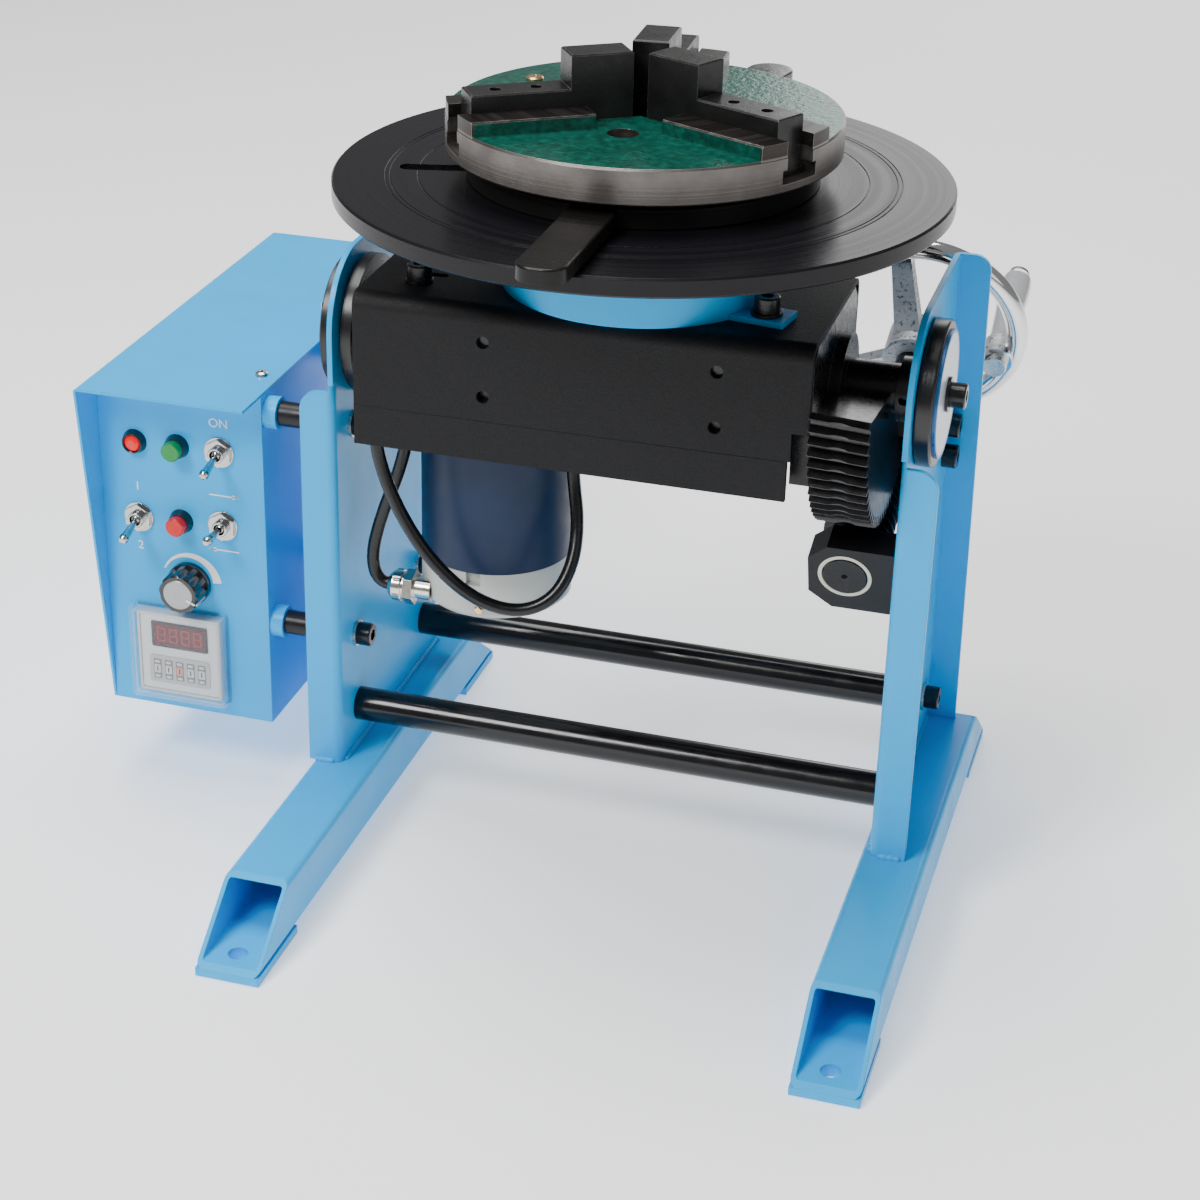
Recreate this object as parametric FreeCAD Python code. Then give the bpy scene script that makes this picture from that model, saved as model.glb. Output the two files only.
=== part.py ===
import FreeCAD, Part
import math
import os

# Bench welding positioner: a turntable with a three-jaw chuck in a head that
# tilts between two uprights by a worm and sector gear.
# Drawn with X = 0 midway between the upright webs, then moved so that the
# origin is on the floor at the centre of the four foot bolt holes.
# X to the right, Y away from the front panel, Z up.  Millimetres.

V = FreeCAD.Vector
os.makedirs("parts", exist_ok=True)

# ---------------------------------------------------------------- dimensions
ORIGIN_X = 6.8

FOOT_L = 381.0          # foot length
FOOT_W = 35.0
FOOT_Z0, FOOT_Z1 = 4.7, 37.3
FOOT_WALL = 2.5
FOOT_R_X = 162.1        # centre line of right foot
FOOT_L_X = -148.5       # centre line of left foot
FOOT_TOP = 290.6        # length of the foot's top face, ends are mitred
FOOT_HOLE_Y = 175.0
FOOT_HOLE_R = 5.25
PAD_L = 53.0

WEB_IN = 149.0          # inner face of the upright webs
SHEET = 3.0
FLANGE_OUT = 168.3
UP_FRONT = -24.7
UP_TOP = 330.0

TILT_Y, TILT_Z = 18.0, 285.0
SHAFT_R = 12.5
TABLE_X = 2.5
TABLE_R = 155.0
TABLE_Z0, TABLE_Z1 = 371.8, 381.5

GEAR_M, GEAR_Z = 2.0, 68
GEAR_X0, GEAR_X1 = 107.0, 136.6
WORM_C = 84.0
WORM_X = 122.1
WORM_TILT = 19.1        # worm axis rises to the back
WORM_DIR = -90.0 + WORM_TILT   # direction from the tilt axis to the worm

CHUCK_R = 98.5
CHUCK_RIM0, CHUCK_RIM1 = 396.0, 414.0
RAIL_TOP = 421.0
JAW_AZ = (-146.5, -26.5, 93.5)
SCROLL_LEAD = 8.0

BOX_X0, BOX_X1 = -296.4, -197.6
BOX_Y0, BOX_Y1 = -7.6, 244.0
BOX_Z0, BOX_Z1 = 46.0, 246.2
HOOD_Y = -32.2
T = 1.5                 # box sheet

CABLE_R = 3.5

X = V(1, 0, 0)
Y = V(0, 1, 0)
Z = V(0, 0, 1)


# ------------------------------------------------------------------- helpers
def box(x0, x1, y0, y1, z0, z1):
    return Part.makeBox(x1 - x0, y1 - y0, z1 - z0, V(x0, y0, z0))


def cyl(p, d, r, h):
    return Part.makeCylinder(r, h, V(*p), V(*d))


def ring(p, d, ro, ri, h):
    p = V(*p)
    d = V(*d)
    d.normalize()
    return Part.makeCylinder(ro, h, p, d).cut(
        Part.makeCylinder(ri, h + 2, p - d, d))


def prism(pts, vec):
    w = Part.makePolygon([V(*p) for p in pts] + [V(*pts[0])])
    return Part.Face(w).extrude(V(*vec))


def fuse(*shapes):
    s = shapes[0]
    for o in shapes[1:]:
        s = s.fuse(o)
    return s.removeSplitter()


def frame_to(p, d):
    """Placement that takes +Z to the direction d and the origin to p."""
    return FreeCAD.Placement(V(*p), FreeCAD.Rotation(Z, V(*d)))


def lathe(profile, p, d):
    """Solid of revolution: profile of (r, h), axis from p along d."""
    w = Part.makePolygon([V(r, 0, h) for r, h in profile] +
                         [V(profile[0][0], 0, profile[0][1])])
    s = Part.Face(w).revolve(V(0, 0, 0), Z, 360)
    s = Part.Solid(s) if s.ShapeType != "Solid" else s
    s.Placement = frame_to(p, d)
    return s


def bolt(p, d, length, m=8.0, head_r=6.5, head_h=8.0, af=6.0):
    """Socket head bolt seated at p, shank along d."""
    c = 0.7
    prof = [(0, -head_h), (head_r - c, -head_h), (head_r, -head_h + c),
            (head_r, 0), (m / 2, 0), (m / 2, length - 1),
            (m / 2 - 1, length), (0, length)]
    s = lathe(prof, p, d)
    rh = af / math.sqrt(3)
    hexa = [V(rh * math.cos(math.radians(60 * i)),
              rh * math.sin(math.radians(60 * i)), -head_h - 1)
            for i in range(6)]
    h = Part.Face(Part.makePolygon(hexa + [hexa[0]])).extrude(
        V(0, 0, head_h * 0.55 + 1))
    h.Placement = frame_to(p, d)
    return s.cut(h)


def rot_z(shape, deg, cx=TABLE_X, cy=TILT_Y):
    s = shape.copy()
    s.rotate(V(cx, cy, 0), Z, deg)
    return s


def polar(r, deg, z, cx=TABLE_X, cy=TILT_Y):
    a = math.radians(deg)
    return (cx + r * math.cos(a), cy + r * math.sin(a), z)


parts = {}


def node(name, *solids):
    out = []
    for s in solids:
        for k in s.Solids:
            if not k.isValid():
                print("not valid:", name)
            out.append(k)
    comp = out[0] if len(out) == 1 else Part.makeCompound(out)
    comp = comp.copy()
    comp.translate(V(-ORIGIN_X, 0, 0))
    parts[name] = comp


def involute_half_angle(r, z, m, thin):
    """Half the angle that a tooth takes at the radius r."""
    rp = m * z / 2
    rb = rp * math.cos(math.radians(20))
    inv = lambda t: math.tan(t) - t
    ap = math.radians(20)
    a = math.acos(min(1.0, rb / r))
    return math.pi / (2 * z) - thin / (2 * rp) + inv(ap) - inv(a)


def gear_outline(z, m, thin, r_root, r_tip, first, count, mid):
    """Points (angle, radius) of teeth; mid is the angle of the tooth
    numbered first, in degrees."""
    pts = []
    step = 2 * math.pi / z
    radii = [r_root + (r_tip - r_root) * k / 4.0 for k in range(5)]
    for i in range(first, first + count):
        c = math.radians(mid) + step * i
        for r in radii:
            pts.append((c - involute_half_angle(r, z, m, thin), r))
        for r in reversed(radii):
            pts.append((c + involute_half_angle(r, z, m, thin), r))
    return pts


# ---------------------------------------------------------------------- feet
def foot(cx):
    w = FOOT_W / 2
    y = FOOT_L / 2
    yt = FOOT_TOP / 2
    tube = box(cx - w, cx + w, -y, y, FOOT_Z0, FOOT_Z1)
    edges = [e for e in tube.Edges if abs(e.tangentAt(e.FirstParameter).y) > .9]
    tube = tube.makeFillet(3.5, edges)
    hole = box(cx - w + FOOT_WALL, cx + w - FOOT_WALL, -y - 1, y + 1,
               FOOT_Z0 + FOOT_WALL, FOOT_Z1 - FOOT_WALL)
    edges = [e for e in hole.Edges if abs(e.tangentAt(e.FirstParameter).y) > .9]
    tube = tube.cut(hole.makeFillet(1.5, edges))
    for s in (1, -1):
        cutter = prism([(cx - 30, s * y, FOOT_Z0), (cx - 30, s * (y + 30), FOOT_Z0),
                        (cx - 30, s * (y + 30), FOOT_Z1 + 10),
                        (cx - 30, s * (yt - 45.2 / 32.6 * 10), FOOT_Z1 + 10)],
                       (60, 0, 0))
        tube = tube.cut(cutter)
        y0, y1 = sorted((s * y, s * (y - PAD_L)))
        pad = box(cx - w, cx + w, y0, y1, 0, FOOT_Z0)
        tube = tube.fuse(pad)
        tube = tube.cut(cyl((cx, s * FOOT_HOLE_Y, -1), (0, 0, 1), FOOT_HOLE_R,
                            FOOT_Z0 + FOOT_WALL + 2))
    return tube.removeSplitter()


node("foot_left", foot(FOOT_L_X))
node("foot_right", foot(FOOT_R_X))

# ------------------------------------------------------------------ uprights
BAR_A = (4.4, 61.3)
BAR_B = (111.0, 63.6)
BOX_BOLTS = ((2.0, 107.0), (105.0, 103.0), (2.0, 233.0), (104.0, 233.0))


def rear_y(z):
    return 141.0 + (104.0 - 141.0) * (z - FOOT_Z1) / (UP_TOP - FOOT_Z1)


def upright(side):
    x0 = side * WEB_IN
    x1 = side * (WEB_IN + SHEET)
    xf = side * FLANGE_OUT
    # web outline with a large radius at the front top
    r = 40.0
    a = V(x0, UP_FRONT, FOOT_Z1)
    b = V(x0, UP_FRONT, UP_TOP - r)
    m = V(x0, UP_FRONT + r - r * math.cos(math.pi / 4),
          UP_TOP - r + r * math.sin(math.pi / 4))
    c = V(x0, UP_FRONT + r, UP_TOP)
    d = V(x0, 104.0, UP_TOP)
    e = V(x0, 141.0, FOOT_Z1)
    w = Part.Wire([Part.makeLine(a, b), Part.Arc(b, m, c).toShape(),
                   Part.makeLine(c, d), Part.makeLine(d, e),
                   Part.makeLine(e, a)])
    web = Part.Face(w).extrude(V(side * SHEET, 0, 0))
    # front flange, outward, round outer top corner
    xa, xb = sorted((x0, xf))
    fl = box(xa, xb, UP_FRONT, UP_FRONT + SHEET, FOOT_Z1, 260.0)
    top = [ed for ed in fl.Edges
           if abs(ed.tangentAt(ed.FirstParameter).y) > .9
           and abs(ed.CenterOfMass.z - 260) < .1
           and abs(ed.CenterOfMass.x - xf) < .1]
    fl = fl.makeFillet(11.0, top)
    # rear flange, outward, along the sloping rear edge
    rf = prism([(x0, 141.0, FOOT_Z1), (x0, 104.0, UP_TOP),
                (x0, 104.0 - SHEET, UP_TOP), (x0, 141.0 - SHEET, FOOT_Z1)],
               (xf - x0, 0, 0))
    top = [ed for ed in rf.Edges
           if abs(ed.tangentAt(ed.FirstParameter).y) > .9
           and abs(ed.CenterOfMass.z - UP_TOP) < .1
           and abs(ed.CenterOfMass.x - xf) < .1]
    rf = rf.makeFillet(9.0, top)
    s = web.fuse(fl).fuse(rf).removeSplitter()
    # round the folds where the flanges leave the web
    for yc, dy, z0, z1, lean in ((UP_FRONT, 1, FOOT_Z1, 262.0, 0.0),
                                 (141.0, -1, FOOT_Z1, UP_TOP,
                                  (104.0 - 141.0) / (UP_TOP - FOOT_Z1))):
        rb = 4.5
        zb = z0 - 2.0
        yb = yc - 2.0 * lean
        p1 = V(x0, yb, zb)
        p2 = V(x0 + side * rb, yb, zb)
        p3 = V(x0, yb + dy * rb, zb)
        q = rb * (1 - math.cos(math.pi / 4))
        pm = V(x0 + side * q, yb + dy * q, zb)
        o1 = V(x0 - side * 2, yb - dy * 2, zb)
        o2 = V(x0 + side * rb, yb - dy * 2, zb)
        o3 = V(x0 - side * 2, yb + dy * rb, zb)
        wf_ = Part.Wire([Part.makeLine(p3, o3), Part.makeLine(o3, o1),
                         Part.makeLine(o1, o2), Part.makeLine(o2, p2),
                         Part.Arc(p2, pm, p3).toShape()])
        hgt = z1 - z0 + 4.0
        cut_ = Part.Face(wf_).extrude(V(0, lean * hgt, hgt))
        s = s.cut(cut_)
    # trunnion bore and bolt holes
    s = s.cut(cyl((side * 140, TILT_Y, TILT_Z), (side, 0, 0), 15.0, 20))
    for (by, bz) in (BAR_A, BAR_B):
        s = s.cut(cyl((side * 140, by, bz), (side, 0, 0), 4.2, 20))
    if side < 0:
        for (by, bz) in BOX_BOLTS:
            s = s.cut(cyl((-140, by, bz), (-1, 0, 0), 4.2, 20))
    else:
        for sp, sh in WORM_BOLTS:
            q = worm_pt(sp, 140, sh)
            s = s.cut(cyl(q, (1, 0, 0), 4.2, 20))
    return s


# worm axis: foot of the perpendicular from the tilt axis
WA = math.radians(WORM_TILT)
U = V(0, math.cos(WA), math.sin(WA))
E2 = V(0, -math.sin(WA), math.cos(WA))
WF = V(0, TILT_Y, TILT_Z) - E2 * WORM_C
WORM_BOLTS = ((-45.0, 0.0), (59.0, -10.4), (65.5, 6.0))


def worm_pt(s, x, h):
    p = WF + U * s + E2 * h
    return (x, p.y, p.z)


node("upright_left", upright(-1))
node("upright_right", upright(1))

# -------------------------------------------------- tie bars and their bolts
bars = []
for (by, bz) in (BAR_A, BAR_B):
    b = cyl((-WEB_IN, by, bz), (1, 0, 0), 9.5, 2 * WEB_IN)
    for s in (-1, 1):
        b = b.cut(cyl((s * WEB_IN, by, bz), (-s, 0, 0), 4.0, 24))
    bars.append(b)
node("tie_bars", *bars)

WASH = 1.6
bolts = []
washers = []
for (by, bz) in (BAR_A, BAR_B):
    for s in (-1, 1):
        xo = s * (WEB_IN + SHEET)
        washers.append(ring((xo, by, bz), (s, 0, 0), 8.0, 4.2, WASH))
        bolts.append(bolt((xo + s * WASH, by, bz), (-s, 0, 0), 24))
for (by, bz) in BOX_BOLTS:
    washers.append(ring((-WEB_IN, by, bz), (1, 0, 0), 7.3, 4.2, WASH))
    bolts.append(bolt((-WEB_IN + WASH, by, bz), (-1, 0, 0), 17))
    bolts.append(bolt((BOX_X1 - T, by, bz), (1, 0, 0), 18))
for sp, sh in WORM_BOLTS:
    q = worm_pt(sp, WEB_IN + SHEET, sh)
    bolts.append(bolt(q, (-1, 0, 0), 15))
node("socket_bolts_frame", *bolts)
node("washers_frame", *washers)

stand = []
for (by, bz) in BOX_BOLTS:
    s = cyl((-152.0, by, bz), (-1, 0, 0), 6.8, 38.0)
    s = s.cut(cyl((-151.9, by, bz), (-1, 0, 0), 4.0, 16))
    s = s.cut(cyl((-190.1, by, bz), (1, 0, 0), 4.0, 12))
    stand.append(s)
node("box_standoffs", *stand)

# --------------------------------------------------------------- worm blocks
sec = [(149, 17), (147, 19), (113, 19), (103, 10), (103, -13.4), (115, -23),
       (147, -23), (149, -21)]


def worm_block(s0, s1):
    pts = [worm_pt(s0, x, h) for x, h in sec]
    blk = prism(pts, tuple(U * (s1 - s0)))
    blk = blk.cut(cyl(worm_pt(s0 - 1, WORM_X, 0), tuple(U), 14.0,
                      s1 - s0 + 2))
    for sp, sh in WORM_BOLTS:
        if s0 < sp < s1:
            blk = blk.cut(cyl(worm_pt(sp, 149.1, sh), (-1, 0, 0), 4.0, 12.4))
    return blk


BLK_F = (-53.5, -36.5)
BLK_R = (36.5, 75.0)
node("worm_blocks", worm_block(*BLK_F), worm_block(*BLK_R))
node("worm_bushes",
     *[ring(worm_pt(a, WORM_X, 0), tuple(U), 14.0, 12.0, b - a)
       for a, b in (BLK_F, BLK_R)])

bush = []
for s in (-1, 1):
    b = ring((s * 147.8, TILT_Y, TILT_Z), (s, 0, 0), 15.0, SHAFT_R + .05, 4.3)
    b = b.fuse(ring((s * 147.8, TILT_Y, TILT_Z), (s, 0, 0), 18.0,
                    SHAFT_R + .05, 1.2)).removeSplitter()
    bush.append(b)
node("trunnion_bushes", *bush)

# --------------------------------------------------------------- control box
PANEL = {                 # centres on the front panel (x, z)
    "lamp": (-273.6, 209.0), "reset": (-248.3, 209.3),
    "power": (-223.2, 209.3), "mode": (-273.5, 163.5),
    "lock": (-248.0, 164.3), "direction": (-222.8, 165.5),
    "knob": (-244.4, 127.3), "timer": (-251.2, 82.2)}
P0 = BOX_Y0

chassis = box(BOX_X0 + T, BOX_X1, P0, BOX_Y1, BOX_Z0, BOX_Z1 - T)
chassis = chassis.cut(box(BOX_X0 - 1, BOX_X1 - T, P0 + T, BOX_Y1 - T,
                          BOX_Z0 + T, BOX_Z1 + 5))
for k, rr in (("lamp", 5.5), ("reset", 6.0), ("power", 4.6), ("mode", 4.6),
              ("lock", 6.0), ("direction", 4.6), ("knob", 5.2)):
    px, pz = PANEL[k]
    chassis = chassis.cut(cyl((px, P0 - 2, pz), (0, 1, 0), rr, 6))
tx, tz = PANEL["timer"]
chassis = chassis.cut(box(tx - 22.5, tx + 22.5, P0 - 2, P0 + 4,
                          tz - 22.5, tz + 22.5))
for (by, bz) in BOX_BOLTS:
    chassis = chassis.fuse(cyl((BOX_X1, by, bz), (1, 0, 0), 9.0, 7.6))
for (by, bz) in BOX_BOLTS:
    chassis = chassis.cut(cyl((BOX_X1 + 9, by, bz), (-1, 0, 0), 4.2, 13))
INLET = (-262.0, 84.0)
PEDAL = (-225.0, 84.0)
chassis = chassis.cut(box(INLET[0] - 13.6, INLET[0] + 13.6, BOX_Y1 - 4,
                          BOX_Y1 + 2, INLET[1] - 10, INLET[1] + 10))
chassis = chassis.cut(cyl((PEDAL[0], BOX_Y1 - 4, PEDAL[1]), (0, 1, 0), 8.2, 8))
for i in range(7):        # air slots low in the back
    chassis = chassis.cut(box(-280 + i * 11, -275 + i * 11, BOX_Y1 - 4,
                              BOX_Y1 + 2, 180, 215))
node("box_chassis", chassis)

SCREWS_TOP = ((-208.0, 19.0), (-208.0, 210.0))
SCREWS_SIDE = ((30.0, 62.0), (206.0, 62.0))
top = box(BOX_X0, BOX_X1, HOOD_Y, BOX_Y1, BOX_Z1 - T, BOX_Z1)
side_w = prism([(BOX_X0, BOX_Y1, BOX_Z0), (BOX_X0, P0, BOX_Z0),
                (BOX_X0, HOOD_Y, BOX_Z1), (BOX_X0, BOX_Y1, BOX_Z1)],
               (T, 0, 0))
cover = top.fuse(side_w).removeSplitter()
fold = [ed for ed in cover.Edges
        if abs(ed.CenterOfMass.x - BOX_X0) < .05 and abs(
            ed.CenterOfMass.z - BOX_Z1) < .05 and ed.Length > 100]
try:
    t = cover.makeFillet(2.5, fold)
    if t.isValid() and len(t.Solids) == 1:
        cover = t
except Exception:
    print("cover fold left sharp")
screws = []
pan = [(0, -2.4), (2.2, -2.4), (3.4, -1.6), (3.8, 0), (2, 0), (2, 9), (0, 9)]


def pan_screw(p, d):
    s = lathe(pan, p, d)
    pl = frame_to(p, d)
    for a in (0, 90):
        c = Part.makeBox(4.4, .9, 2.6, V(-2.2, -.45, -3.2))
        c.rotate(V(0, 0, 0), Z, a)
        c.Placement = pl.multiply(c.Placement)
        s = s.cut(c)
    return s


for (sx, sy) in SCREWS_TOP:
    cover = cover.cut(cyl((sx, sy, BOX_Z1 - 3), (0, 0, 1), 2.2, 6))
    screws.append(pan_screw((sx, sy, BOX_Z1), (0, 0, -1)))
for (sy, sz) in SCREWS_SIDE:
    cover = cover.cut(cyl((BOX_X0 - 2, sy, sz), (1, 0, 0), 2.2, 6))
    screws.append(pan_screw((BOX_X0, sy, sz), (1, 0, 0)))
node("box_cover", cover)
node("cover_screws", *screws)

# panel fittings: bezels, lamp, buttons
bez = []
for k in ("reset", "lock"):
    px, pz = PANEL[k]
    b = lathe([(5.5, -5), (6.0, -5), (7.2, 0), (6.0, 0), (6.0, 13),
               (0, 13), (0, 6), (5.5, 6)], (px, P0, pz), (0, 1, 0))
    bez.append(b)
px, pz = PANEL["lamp"]
bez.append(lathe([(4.85, -1.6), (6.2, -1.6), (6.6, -1.0), (6.6, 0),
                  (5.5, 0), (5.5, 16), (4.85, 16)], (px, P0, pz), (0, 1, 0)))
node("button_bezels", *bez)
node("pilot_lens", lathe([(0, -5.4), (2.4, -5.1), (4.0, -4.3), (4.85, -3.0),
                          (4.85, 3.0), (0, 3.0)], (px, P0, pz), (0, 1, 0)))
for k, name in (("reset", "reset_button"), ("lock", "lock_button")):
    px, pz = PANEL[k]
    node(name, lathe([(0, -10.0), (4.8, -10.0), (5.42, -9.4), (5.42, 3.6),
                      (0, 3.6)], (px, P0, pz), (0, 1, 0)))

# toggle switches: nut, washer, bushing with its case behind the panel
tog = []
LEV_Y = P0 - 3.4          # pivot of the levers
for k in ("power", "mode", "direction"):
    px, pz = PANEL[k]
    tog.append(ring((px, P0, pz), (0, -1, 0), 8.7, 4.5, .8))
    hx = [V(px + 8.2 * math.cos(math.radians(60 * i + 30)), P0 - .8,
            pz + 8.2 * math.sin(math.radians(60 * i + 30))) for i in range(6)]
    nut = Part.Face(Part.makePolygon(hx + [hx[0]])).extrude(V(0, -2.2, 0))
    nut = nut.cut(cyl((px, P0 + 1, pz), (0, -1, 0), 4.5, 6))
    tog.append(nut)
    b = lathe([(3.3, -6.2), (4.1, -6.2), (4.5, -5.8), (4.5, T), (9.0, T),
               (9.0, 16), (0, 16), (0, -.2), (3.3, -.2)], (px, P0, pz),
              (0, 1, 0))
    tog.append(b)
node("toggle_switches", *tog)


def lever(k, tilt):
    px, pz = PANEL[k]
    s = lathe([(0, -2.3), (1.9, -2.3), (1.7, 4), (2.3, 14.5), (2.8, 17.2),
               (2.7, 18.8), (1.9, 20.0), (.9, 20.5), (0, 20.6)], (px, LEV_Y, pz),
              (0, -1, 0))
    s = s.fuse(Part.makeSphere(3.2, V(px, LEV_Y, pz))).removeSplitter()
    s.rotate(V(px, LEV_Y, pz), X, tilt)
    return s


node("power_lever", lever("power", 15))
node("mode_lever", lever("mode", 15))
node("direction_lever", lever("direction", 0))

# speed knob on its shaft
px, pz = PANEL["knob"]
knob = lathe([(0, -17.4), (10.6, -17.4), (11.7, -16.4), (12.1, -4.6),
              (12.6, -3.8), (12.6, -.6), (3.0, -.6), (3.0, 14), (0, 14)],
             (px, P0, pz), (0, 1, 0))
for i in range(10):
    a = math.radians(36 * i + 8)
    knob = knob.cut(cyl((px + 13.3 * math.cos(a), P0 - 18,
                         pz + 13.3 * math.sin(a)), (0, 1, 0), 2.7, 13.6))
node("speed_knob", knob)

# timer with its body through the panel, and its hinged clear lid
tc = box(tx - 25, tx + 25, P0 - 5.6, P0, tz - 25, tz + 25)
edges = [e for e in tc.Edges if abs(e.tangentAt(e.FirstParameter).y) > .9]
tc = tc.makeFillet(2.0, edges)
tc = tc.fuse(box(tx - 22.2, tx + 22.2, P0 - 1, P0 + 60, tz - 22.2, tz + 22.2))
tc = tc.cut(box(tx - 23.4, tx + 23.4, P0 - 7, P0 - 4.8, tz - 23.4, tz + 23.4))
node("timer_case", tc.removeSplitter())
lid = box(tx - 29, tx + 29, P0 - 9.6, P0, tz - 28.5, tz + 28.5)
edges = [e for e in lid.Edges if abs(e.tangentAt(e.FirstParameter).y) > .9
         or abs(e.CenterOfMass.y - P0 + 9.6) < .1]
lid = lid.makeFillet(2.4, edges)
lid = lid.cut(box(tx - 26.6, tx + 26.6, P0 - 7.6, P0 + 1, tz - 26.1, tz + 26.1))
node("timer_lid", lid)

# back of the box
inlet = box(INLET[0] - 25, INLET[0] + 25, BOX_Y1, BOX_Y1 + 2.5,
            INLET[1] - 11.5, INLET[1] + 11.5)
inlet = inlet.fuse(box(INLET[0] - 13.5, INLET[0] + 13.5, BOX_Y1 - 18,
                       BOX_Y1 + 1, INLET[1] - 9.8, INLET[1] + 9.8))
inlet = inlet.cut(box(INLET[0] - 11.5, INLET[0] + 11.5, BOX_Y1 - 13,
                      BOX_Y1 + 3, INLET[1] - 7.5, INLET[1] + 7.5))
pins = [box(INLET[0] + a - .4, INLET[0] + a + .4, BOX_Y1 - 14, BOX_Y1 - 1,
            INLET[1] + b - 2, INLET[1] + b + 2)
        for a, b in ((-7, -2), (0, 2), (7, -2))]
node("power_inlet", fuse(inlet, *pins))
ped = ring((PEDAL[0], BOX_Y1, PEDAL[1]), (0, 1, 0), 10.5, 6.6, 3.0)
ped = ped.fuse(ring((PEDAL[0], BOX_Y1 - 12, PEDAL[1]), (0, 1, 0), 8.1, 6.6, 19))
ped = ped.fuse(cyl((PEDAL[0], BOX_Y1 - 12, PEDAL[1]), (0, 1, 0), 6.6, 9))
node("pedal_socket", ped.removeSplitter())

board = box(-290, -205, 60, 190, 60, 61.6)
parts_b = [board]
for (bx, by, w, d, h) in ((-275, 85, 26, 34, 38), (-240, 80, 14, 14, 20),
                          (-222, 120, 18, 40, 26), (-265, 150, 30, 22, 14)):
    parts_b.append(box(bx - w / 2, bx + w / 2, by - d / 2, by + d / 2,
                       61.6, 61.6 + h))
brd = fuse(*parts_b)
legs = [cyl((lx, ly, BOX_Z0 + T), (0, 0, 1), 3.0, 60 - BOX_Z0 - T)
        for lx in (-285, -210) for ly in (66, 184)]
px, pz = PANEL["knob"]
pot = cyl((px, P0 + T, pz), (0, 1, 0), 12.0, 14).cut(
    cyl((px, P0, pz), (0, 1, 0), 3.05, 14.5))
node("control_board", fuse(brd, *legs), pot)

# ------------------------------------------------------------- tilting head
EPL = (-128.0, -123.0)
EPR = (101.0, 107.0)


def end_plate(x0, x1):
    pts = [(-30, 246.5), (60.8, 246.5), (60.8, 315), (53, 322.8), (-37, 322.8),
           (-44.8, 315), (-44.8, 283), (-30, 283)]
    return prism([(x0, y, z) for y, z in pts], (x1 - x0, 0, 0))


right = end_plate(*EPR)
right = right.fuse(cyl((107, TILT_Y, TILT_Z), (1, 0, 0), 25.0, 6))
right = right.fuse(cyl((107, TILT_Y, TILT_Z), (1, 0, 0), SHAFT_R, 45.4))
right = right.cut(cyl((153, TILT_Y, TILT_Z), (-1, 0, 0), 4.0, 24))
left = end_plate(*EPL)
left = left.fuse(cyl((-128, TILT_Y, TILT_Z), (-1, 0, 0), 25.0, 6))
left = left.fuse(cyl((-128, TILT_Y, TILT_Z), (-1, 0, 0), SHAFT_R, 24.4))
left = left.cut(cyl((-153, TILT_Y, TILT_Z), (1, 0, 0), 4.0, 24))
GB = [(TILT_Y + 32 * math.cos(math.radians(a)),
       TILT_Z + 32 * math.sin(math.radians(a))) for a in (-150, -112, -74)]
right = right.fuse(box(95, 102, -30, -17, 246.5, 284))
for gy, gz in GB:
    right = right.cut(cyl((99, gy, gz), (1, 0, 0), 3.0, 10))
node("trunnion_right", right.removeSplitter())
node("trunnion_left", left.removeSplitter())

# sector gear: helical teeth cut to a throat that wraps the worm
mid = WORM_DIR + 180.0 / GEAR_Z       # a tooth space faces the worm
lo, hi = -185.5, -57.0
n0 = int(math.ceil((lo - mid) / (360.0 / GEAR_Z)))
n1 = int(math.floor((hi - mid) / (360.0 / GEAR_Z)))
ol = gear_outline(GEAR_Z, GEAR_M, 0.40, 65.3, 71.0, n0, n1 - n0 + 1, mid)


def gear_wire(x):
    tw = (x - WORM_X) / 16.0 / 68.0
    pts = [V(x, TILT_Y + r * math.cos(a + tw), TILT_Z + r * math.sin(a + tw))
           for a, r in ol]
    # close through the inside of the sector
    a0 = ol[0][0] + tw
    a1 = ol[-1][0] + tw
    pts.append(V(x, TILT_Y + 9 * math.cos(a1), TILT_Z + 9 * math.sin(a1)))
    pts.append(V(x, TILT_Y + 9 * math.cos(a0), TILT_Z + 9 * math.sin(a0)))
    pts.append(pts[0])
    return Part.makePolygon(pts)


gear = Part.makeLoft([gear_wire(GEAR_X0), gear_wire(GEAR_X1)], True, True)
half = GEAR_X1 - GEAR_X0
face = [(8.0, 0), (70.5, 0), (70.9, 0.4), (70.9, half - .4), (70.5, half),
        (8.0, half)]
blank = lathe(face, (GEAR_X0, TILT_Y, TILT_Z), (1, 0, 0))
tor = Part.makeTorus(WORM_C, 14.0, V(WORM_X, TILT_Y, TILT_Z), X)
blank = blank.cut(tor)
gear = gear.common(blank)
gear = gear.cut(cyl((GEAR_X0 - 1, TILT_Y, TILT_Z), (1, 0, 0), 12.6, 40))
gear = gear.cut(cyl((GEAR_X0 - 1, TILT_Y, TILT_Z), (1, 0, 0), 25.3, 7.1))
for gy, gz in GB:
    gear = gear.cut(cyl((106, gy, gz), (1, 0, 0), 3.0, 18))
print("gear", gear.isValid(), len(gear.Solids), round(gear.Volume))
node("sector_gear", gear)

# head cover: folded sheet, open below
FR, RR = -48.0, 64.0


def u_sheet(x0, x1, z0, z1):
    o = box(x0, x1, FR, RR, z0, z1)
    ed = [e for e in o.Edges if abs(e.tangentAt(e.FirstParameter).x) > .9
          and abs(e.CenterOfMass.z - z1) < .1]
    o = o.makeFillet(8.0, ed)
    i = box(x0 - 1, x1 + 1, FR + 3, RR - 3, z0 - 1, z1 - 3)
    ed = [e for e in i.Edges if abs(e.tangentAt(e.FirstParameter).x) > .9
          and abs(e.CenterOfMass.z - z1 + 3) < .1]
    return o.cut(i.makeFillet(5.0, ed))


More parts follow.
